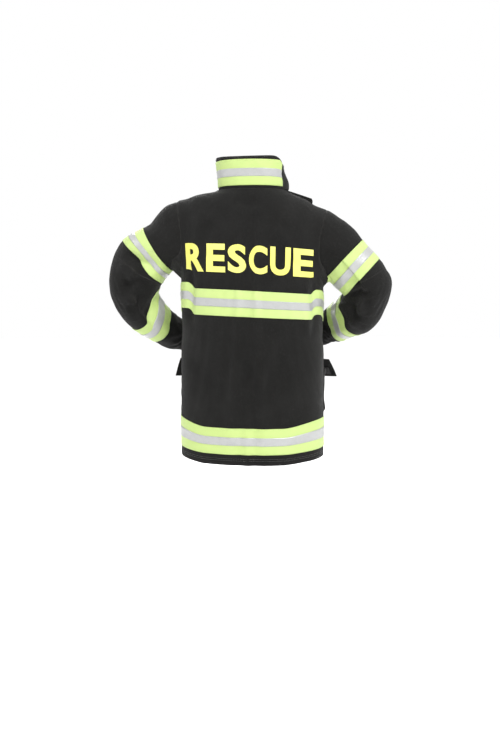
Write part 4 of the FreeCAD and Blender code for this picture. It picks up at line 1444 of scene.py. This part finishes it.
def make_collar():
    start, end = front_angle(FRONT_EDGE), front_angle(-FRONT_EDGE)
    angles = np.linspace(start, end, 130)
    shell = collar_sheet(angles, -2.5, collar_top, 0, -2.0)
    line = [collar_place(a, collar_top(a) * 0.955, 0.1) for a in angles[2:-2]]
    centre = np.array((0, 9, 30))
    stitches(shell, line, [unit((p - centre) * (1, 1, 0)) for p in line])
    shell.write("collar_cloth", [SHELL, DARK_THREAD], "shell", ["collar_shell"], body=COAT)
    collar_sheet(angles[1:-1], 0.6, lambda a: collar_top(a) - 1.2, -2.25, -3.65).write(
        "collar_lining_cloth", [LINING], "lining", ["collar_lining"], body=COAT)

    left_end, right_end = math.radians(-28), math.radians(153)

    def spread(share, z):
        zigzag = 4.5 * (abs(((z - 7) / 51 * 2) % 2 - 1) - 0.5)
        return left_end + (right_end - left_end) * share + math.radians(zigzag) * share ** 8

    def lowered(z, angle):
        room = (collar_top(angle) - 3 - COLLAR_TAPE[0]) / (COLLAR_TAPE[1] - COLLAR_TAPE[0])
        return COLLAR_TAPE[0] + (z - COLLAR_TAPE[0]) * min(1, room)

    def tape(low, high, outer, inner, name, materials, slot, nodes, insets):
        shares = np.linspace(0, 1, 100)
        heights = steps(low, high, 3.4, 1.0)

        def grid(offset, dropped):
            rows = []
            for s in shares:
                row = []
                for z in heights:
                    edge = min(z - low, high - z)
                    fall = 0.5 * (1 - min(1, edge / 1.0)) ** 2 if dropped else 0
                    angle = spread(s, z)
                    row.append(collar_place(angle, lowered(z, angle), offset - fall))
                rows.append(row)
            return np.array(rows)[::-1]

        uv = np.array([[(s * 260, z) for z in heights] for s in shares])[::-1]
        piece = sheet(grid(outer, True), grid(inner, False), uv)
        for inset in insets:
            for z in (low + inset, high - inset):
                line, directions = [], []
                for s in shares[1:-1]:
                    angle = spread(s, z)
                    p = collar_place(angle, lowered(z, angle), outer + 0.05)
                    line.append(p)
                    directions.append(unit((p[0], p[1] - 9, 0)))
                stitches(piece, line, directions)
        piece.write(name, materials, slot, nodes, body=COAT)

    low, high = COLLAR_TAPE
    tape(low, high, 1.1, 0.15, "collar_tape_cloth", [LIME, LIME_THREAD], "lime_tape", ["collar_tape"], (2.2,))
    tape(low + MARGIN, high - MARGIN, 1.7, 1.15, "collar_stripe_film", [SILVER, GREY_THREAD], "silver_tape",
         ["collar_stripe"], (1.4,))


# ---------------------------------------------------------------- front: storm flap, zip and patches

FLAP_X = (-36.0, 26.0)
FLAP_Z = (-535.0, -20.0)
CLOSURE_X = (-33.0, -13.0)


def on_front():
    """A place on the front from (x, z) and a height off the cloth."""
    def place(x, z, offset):
        y = -body_front(x, z)
        e = 1.0
        dx = (-body_front(x + e, z) + body_front(x - e, z)) / (2 * e)
        dz = (-body_front(x, z + e) + body_front(x, z - e)) / (2 * e)
        n = unit((dx, -1.0, dz))
        return np.array((x, y, z)) + n * offset
    return place


def flap_wave(x, z):
    """The storm flap lies in long shallow waves, more towards its free edge."""
    free = float(np.clip((20 - x) / 56, 0, 1))
    return 0.9 * free * noise.noise(Vector((x / 60, 0, z / 85))) + 0.35 * free * math.sin(z / 31)


def line_on(place, xs, zs, offset):
    points = [place(x, z, offset) for x, z in zip(xs, zs)]
    normals = [unit(place(x, z, offset + 1) - p) for x, z, p in zip(xs, zs, points)]
    return points, normals


def make_front():
    place = on_front()
    low, high = FLAP_Z
    xs, zs = steps(FLAP_X[0], FLAP_X[1], 5), steps(low, high, 6)

    def lifted(x, z, offset):
        return place(x, z, offset + flap_wave(x, z))

    flap = patch(lifted, xs, zs, 7.6, 5.6, rounding=1.6, drop=0.8)
    down = np.arange(low + 5, high - 4, 4.0)
    for x in (FLAP_X[0] + 4, FLAP_X[0] + 9, FLAP_X[1] - 4):
        stitches(flap, *line_on(lifted, [x] * len(down), down, 7.65))
    across = np.arange(FLAP_X[0] + 4, FLAP_X[1] - 4, 3.0)
    for z in (low + 5, high - 5):
        stitches(flap, *line_on(lifted, across, [z] * len(across), 7.65))
    flap.write("storm_flap_cloth", [SHELL, DARK_THREAD], "shell", ["storm_flap"], body="front_flap")
    patch(place, steps(FLAP_X[1] + 0.6, FLAP_X[1] + 7, 2), zs, 7.4, 0.3, rounding=1.5).write(
        "flap_placket_cloth", [SHELL], "shell", ["flap_placket"], body=COAT)
    strip_x, strip_z = steps(*CLOSURE_X, 4), steps(low + 8, high - 30, 7)
    for name, node, heights, material, body in (
        ("front_loop_pile", "front_loop_strip", (2.4, 0.3), LOOPS, COAT),
        ("flap_hook_pile", "flap_hook_strip", (5.3, 3.0), HOOKS, "front_flap"),
    ):
        fabric = patch(place if body == COAT else lifted, strip_x, strip_z, *heights, rounding=1.2)
        for x in (CLOSURE_X[0] + 1.6, CLOSURE_X[1] - 1.6):
            stitches(fabric, *line_on(place, [x] * len(down[8:-2]), down[2:-8], heights[0] + 0.1))
        fabric.write(name, [material, DARK_THREAD], "hook_loop", [node], body=body)
    tape_x = steps(FLAP_X[0] + 0.2, FLAP_X[1] - 4, 5)
    tape, stripe = Piece(), Piece()
    for bottom, top in (CHEST_TAPE, HEM_TAPE):
        join(tape, patch(lifted, tape_x, steps(bottom, top, 5), 8.6, 7.7, drop=0.4))
        join(stripe, patch(lifted, tape_x, steps(bottom + MARGIN, top - MARGIN, 4), 9.2, 8.65, drop=0.3))
        for piece, edge, height in ((tape, LIME_INSET, 8.65), (stripe, MARGIN + SILVER_INSET, 9.25)):
            for z in (bottom + edge, top - edge):
                stitches(piece, *line_on(lifted, across, [z] * len(across), height))
    tape.write("flap_tape_cloth", [LIME, LIME_THREAD], "lime_tape", ["flap_tapes"], body="front_flap")
    stripe.write("flap_stripe_film", [SILVER, GREY_THREAD], "silver_tape", ["flap_stripes"],
                 body="front_flap")
    zip_z = steps(HEM + 12, -8, 6)
    for word, edges in (("left", (3.6, 10.5)), ("right", (-10.5, -3.6))):
        patch(place, steps(*edges, 2.3), zip_z, -2.3, -2.9, drop=0.1).write(
            f"zip_tape_cloth_{word}", [ZIP_TAPE], "zip_tape", [f"zip_tape_{word}"], body=COAT)


def join(piece, other):
    return piece.add(other.verts, other.faces, other.uvs)


# ---------------------------------------------------------------- pockets

# flare is the angle at which the flap stands out, for each side
POCKETS = {
    "hip": dict(bearing=38.0, width=92.0, low=-464.0, high=-365.0, depth=11.5, root=-345.0, length=45.0,
                flare={1: 28.0, -1: 33.0}),
    "radio": dict(bearing=24.0, width=50.0, low=-198.0, high=-122.0, depth=13.2, root=-106.0, length=30.0,
                  flare={1: 48.0}),
}
PATCH_X = 14.0


def tangent_place(bearing):
    """Point, outward direction and sideways direction of a pocket on the body's middle section."""
    w, d, cy = body_section(-260)
    a = math.radians(bearing)
    out = np.array((math.sin(a), -math.cos(a), 0))
    power = SQUARENESS / (SQUARENESS - 1)
    x, y = abs(w * out[0]), abs(d * out[1])
    scale = (x ** power + y ** power) ** (1 / power)
    point = np.array((w * (x / scale) ** (power - 1), cy - d * (y / scale) ** (power - 1), 0))
    return point, out, np.array((-out[1], out[0], 0))


def on_pocket(skin, bearing, side):
    """A place over the cloth, from the distance sideways from the pocket's middle and the height."""
    point, _, across = tangent_place(bearing)
    samples = [ring_point(a, SQUARENESS) for a in np.linspace(-math.pi / 2, 0.25, 400)]

    def place(s, z, offset):
        w, d, cy = body_section(z)
        ring = np.array([(w * x, cy + d * y) for x, y in samples])
        along = (ring - point[:2]) @ across[:2]
        x, y = (np.interp(s, along, ring[:, k]) for k in (0, 1))
        p, n = skin.wrap((side * x, y, z))
        return p + n * offset
    return place


def make_pocket(skin, kind, side, names):
    spec = POCKETS[kind]
    half = spec["width"] / 2
    place = on_pocket(skin, spec["bearing"], side)
    ss = steps(-half, half, 3.6)
    zs = [spec["high"]] + steps(spec["high"] - 2, spec["low"], 4.0)

    def height(s, z):
        edge = min(half - abs(s), z - spec["low"])
        swell = math.sin(math.pi / 2 * min(1, edge / 9))
        sag = 1 - 0.10 * (s / half) ** 2
        ruck = 0.7 * noise.noise(Vector((s / 16, z / 20, side * 4)))
        return 0.5 + (spec["depth"] - 1.2) * swell * sag + ruck * min(1, edge / 12)

    def on_bag(s, z, offset):
        return place(s, z, height(s, z) + offset)

    bag = patch(place, ss, zs, height, lambda s, z: max(0.2, height(s, z) - 2.2), rounding=0.8, drop=0.2)
    across = np.arange(3 - half, half - 3, 3.0)
    for z in (spec["high"] - 12, spec["high"] - 9.5):
        stitches(bag, *line_on(on_bag, across, [z] * len(across), 0.1))
    down = np.arange(spec["low"] + 3, spec["high"] - 3, 3.0)
    for s in (5.0 - half, half - 5.0):
        stitches(bag, *line_on(on_bag, [s] * len(down), down, 0.1))
    bag.write(names["bag"] + "_cloth", [SHELL, DARK_THREAD], "shell", [names["bag"]], body=COAT)
    pile = patch(on_bag, steps(PATCH_X - half, half - PATCH_X, 4),
                 steps(spec["high"] - 4, spec["high"] - 24, 4), 1.3, 0.1, drop=0.5)
    pile.write(names["loop"] + "_pile", [LOOPS], "hook_loop", [names["loop"]], body=COAT)


def make_pocket_flap(kind, side, names, body):
    """A flap that hangs from its hinge line and stands out, softly bowed, with its corners curling out."""
    spec = POCKETS[kind]
    point, out, across = tangent_place(spec["bearing"])
    half = spec["width"] / 2 + 2
    turn = math.radians(spec["flare"][side])
    root = np.array((point[0], point[1], spec["root"])) + out * 1.8
    down = np.array((0, 0, -math.cos(turn))) + out * math.sin(turn)
    face = unit(out * math.cos(turn) + np.array((0, 0, math.sin(turn))))

    def place(s, t, offset):
        end = t / spec["length"]
        bow = 3.0 * math.sin(math.pi * end) * (1 - 0.35 * (s / half) ** 2) - 1.2 * end
        curl = 2.6 * end ** 2 * (abs(s) / half) ** 3
        ripple = 0.8 * noise.noise(Vector((s / 24, t / 20, 7 * side))) * end
        p = root + across * s + down * t + face * (offset + bow * 0.8 + curl + ripple)
        return mirror(side, p)

    ss, ts = steps(-half, half, 3.6), steps(0, spec["length"], 3.6)
    flap = patch(place, ss, ts, 0.9, -0.9, rounding=1.2, drop=0.6)
    hook = patch(place, steps(12 - half, half - 12, 4), steps(spec["length"] - 22, spec["length"] - 6, 4),
                 -1.1, -2.2, drop=0.0)
    for inset in (3.0, 7.0):
        u = np.arange(inset - half, half - inset, 3.0)
        v = np.arange(2, spec["length"] - inset, 3.0)
        for line_s, line_t in ((u, [spec["length"] - inset] * len(u)), ([inset - half] * len(v), v),
                               ([half - inset] * len(v), v)):
            stitches(flap, *line_on(place, line_s, line_t, 1.0))
    flap.write(names["flap"] + "_cloth", [SHELL, DARK_THREAD], "shell", [names["flap"]], body=body)
    hook.write(names["hook"] + "_pile", [HOOKS], "hook_loop", [names["hook"]], body=body)


def make_pockets(skin):
    for kind, side, tail, body in (
        ("hip", 1, "_left", "pocket_flap_left"), ("hip", -1, "_right", "pocket_flap_right"),
        ("radio", 1, "", "chest_flap"),
    ):
        names = {"bag": f"{kind}_pocket{tail}", "loop": f"{kind}_pocket_loop{tail}",
                 "flap": f"{kind}_flap{tail}", "hook": f"{kind}_flap_hook{tail}"}
        make_pocket(skin, kind, side, names)
        make_pocket_flap(kind, side, names, body)


# ---------------------------------------------------------------- throat tab and hanging loop

TAB_ROOT = np.array((-16, -53.2, 14.5))
TAB_SLOPE = math.radians(19)
TAB = dict(length=111.0, half=12.0, thick=2.4)


def make_tab():
    along = np.array((-math.cos(TAB_SLOPE), 0, -math.sin(TAB_SLOPE)))
    up = np.array((-math.sin(TAB_SLOPE), 0, math.cos(TAB_SLOPE)))
    behind = np.array((0, 1.0, 0))

    def place(t, s, offset):
        end = t / TAB["length"]
        root_cut = s * math.tan(TAB_SLOPE) * (1 - float(step(0, 20, t)))
        tip = -5.0 * (abs(s) / TAB["half"]) ** 3 * float(step(0.8, 1.0, end))
        bend = 1.1 * math.sin(math.pi * end) + 0.5 * math.sin(3 * math.pi * end) * (s / TAB["half"])
        height = offset + bend * float(step(0, 10, t))
        return TAB_ROOT + along * (t + root_cut + tip) + up * s + behind * height

    ts, ss = steps(0, TAB["length"], 3.5), steps(-TAB["half"], TAB["half"], 3.0)
    half = TAB["thick"] / 2
    tab = patch(place, ts, ss, half, -half, rounding=1.4, drop=0.8)
    line = np.arange(3, TAB["length"] - 4, 3.0)
    for s in (3 - TAB["half"], TAB["half"] - 3):
        for offset, direction in ((half + 0.05, behind), (-half - 0.05, -behind)):
            stitches(tab, [place(t, s, offset) for t in line], [direction] * len(line))
    tab.write("throat_tab_cloth", [SHELL, DARK_THREAD], "shell", ["throat_tab"], body="tab")
    patch(place, steps(TAB["length"] - 35, TAB["length"] - 5, 4), steps(4 - TAB["half"], TAB["half"] - 4, 4),
          -half - 0.2, -half - 1.4, drop=0.0).write(
        "throat_tab_hook_pile", [HOOKS], "hook_loop", ["throat_tab_hook"], body="tab")
    angles = np.linspace(front_angle(24), front_angle(48), 12)[::-1]
    pile = collar_sheet(sorted(angles), 6.0, 26.0, 1.5, 0.2)
    pile.write("collar_loop_pile", [LOOPS], "hook_loop", ["collar_loop_patch"], body=COAT)


def make_hang_loop():
    """A flat strap inside the back of the collar, sewn at both ends and bowed between them."""
    xs = np.linspace(-25, 25, 30).tolist()
    zs = [12, 12.4, 13.2, 15, 17, 18.8, 19.6, 20]
    depth = np.interp(16, [0, 65], [58, 63])
    inner_face = {x: 9.5 + depth * (1 - (abs(x) / 68) ** SQUARENESS) ** (1 / SQUARENESS) - 3.9 for x in xs}

    def grid(offset):
        rows = []
        for x in xs:
            bow = 5.4 * (1 - float(step(15, 24, abs(x))))
            rows.append([(x, inner_face[x] - 0.6 - bow - offset, z) for z in zs])
        return np.array(rows)

    uv = np.array([[(x, z) for z in zs] for x in xs])
    strap = sheet(grid(1.2), grid(0.0), uv)
    for x in (-22.5, 22.5):
        nearest = min(xs, key=lambda k: abs(k - x))
        line = [(x, inner_face[nearest] - 2.0, z) for z in np.arange(12.6, 19.6, 1.0)]
        stitches(strap, line, [(0, -1, 0)] * len(line))
    strap.write("hang_loop_cloth", [SHELL, DARK_THREAD], "shell", ["hang_loop"], body=COAT)


# ---------------------------------------------------------------- scene

CAMERA = dict(azimuth=6.0, side=0.0046, distance=1.8, height=-0.201, lens=42.0, sensor=36.0, rise=85 / 750)
FLOOR = -0.78


def make_camera():
    camera = bpy.data.cameras.new("camera")
    obj = link(bpy.data.objects.new("camera", camera))
    turn = math.radians(CAMERA["azimuth"])
    obj.location = (CAMERA["side"] - math.sin(turn) * CAMERA["distance"], math.cos(turn) * CAMERA["distance"],
                    CAMERA["height"])
    obj.rotation_euler = (math.radians(90), 0, math.pi + turn)
    camera.sensor_fit = "VERTICAL"
    camera.sensor_height = CAMERA["sensor"]
    camera.lens = CAMERA["lens"]
    camera.shift_y = -CAMERA["rise"]
    bpy.context.scene.camera = obj


def make_studio():
    world = bpy.data.worlds.new("studio")
    world.use_nodes = True
    background = world.node_tree.nodes["Background"]
    background.inputs[0].default_value = (1, 1, 1, 1)
    background.inputs[1].default_value = 1.0
    bpy.context.scene.world = world
    bpy.context.scene.view_settings.view_transform = "Standard"
    sun = bpy.data.lights.new("sun", "SUN")
    sun.energy, sun.angle = 0.45, 1.2
    obj = link(bpy.data.objects.new("sun", sun))
    obj.rotation_euler = (math.radians(-18), math.radians(-14), 0)
    for name, place, energy, size in (
        ("key", (-1.3, 1.7, 1.8), 74, 0.9),
        ("side", (2.2, 0.9, 0.8), 12, 1.0),
        ("front", (0.6, -2.2, 1.3), 60, 1.2),
    ):
        light = bpy.data.lights.new(name, "AREA")
        light.energy, light.size = energy, size
        obj = link(bpy.data.objects.new(name, light))
        obj.location = place
        obj.rotation_euler = (Vector((0, 0, -0.25)) - Vector(place)).to_track_quat("-Z", "Y").to_euler()
    floor = bmesh.new()
    bmesh.ops.create_circle(floor, cap_ends=True, segments=96, radius=9.0)
    mesh = bpy.data.meshes.new("floor")
    floor.to_mesh(mesh)
    obj = link(bpy.data.objects.new("floor", mesh))
    obj.location = (0, 0, FLOOR)
    material = bpy.data.materials.new("floor")
    material.use_nodes = True
    sockets = material.node_tree.nodes["Principled BSDF"].inputs
    sockets["Base Color"].default_value = (0.93, 0.93, 0.93, 1)
    sockets["Roughness"].default_value = 0.9
    mesh.materials.append(material)


def finish_kept_nodes():
    """Materials for the solids that stay as they are: the zip's coils, stop, slider and pull."""
    for name, material in (("zip_coil_left", ZIP_COIL), ("zip_coil_right", ZIP_COIL),
                           ("zip_bottom_stop", BRASS), ("zip_slider", BRASS), ("zip_pull", BRASS)):
        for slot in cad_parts[name].material_slots:
            slot.material = material


def build():
    base = base_surface()
    draped = drape(base)
    rest = read(base) / MM
    skin = Skin(subdivided(base, rest), subdivided(base, levelled(rest, draped)))
    skin.shape()
    skin.cut_panels()
    make_torso(skin)
    make_body_tapes(skin)
    make_sleeves(skin)
    make_letters(skin)
    make_collar()
    make_front()
    make_pockets(skin)
    make_tab()
    make_hang_loop()


make_camera()
build()
finish_kept_nodes()
make_studio()
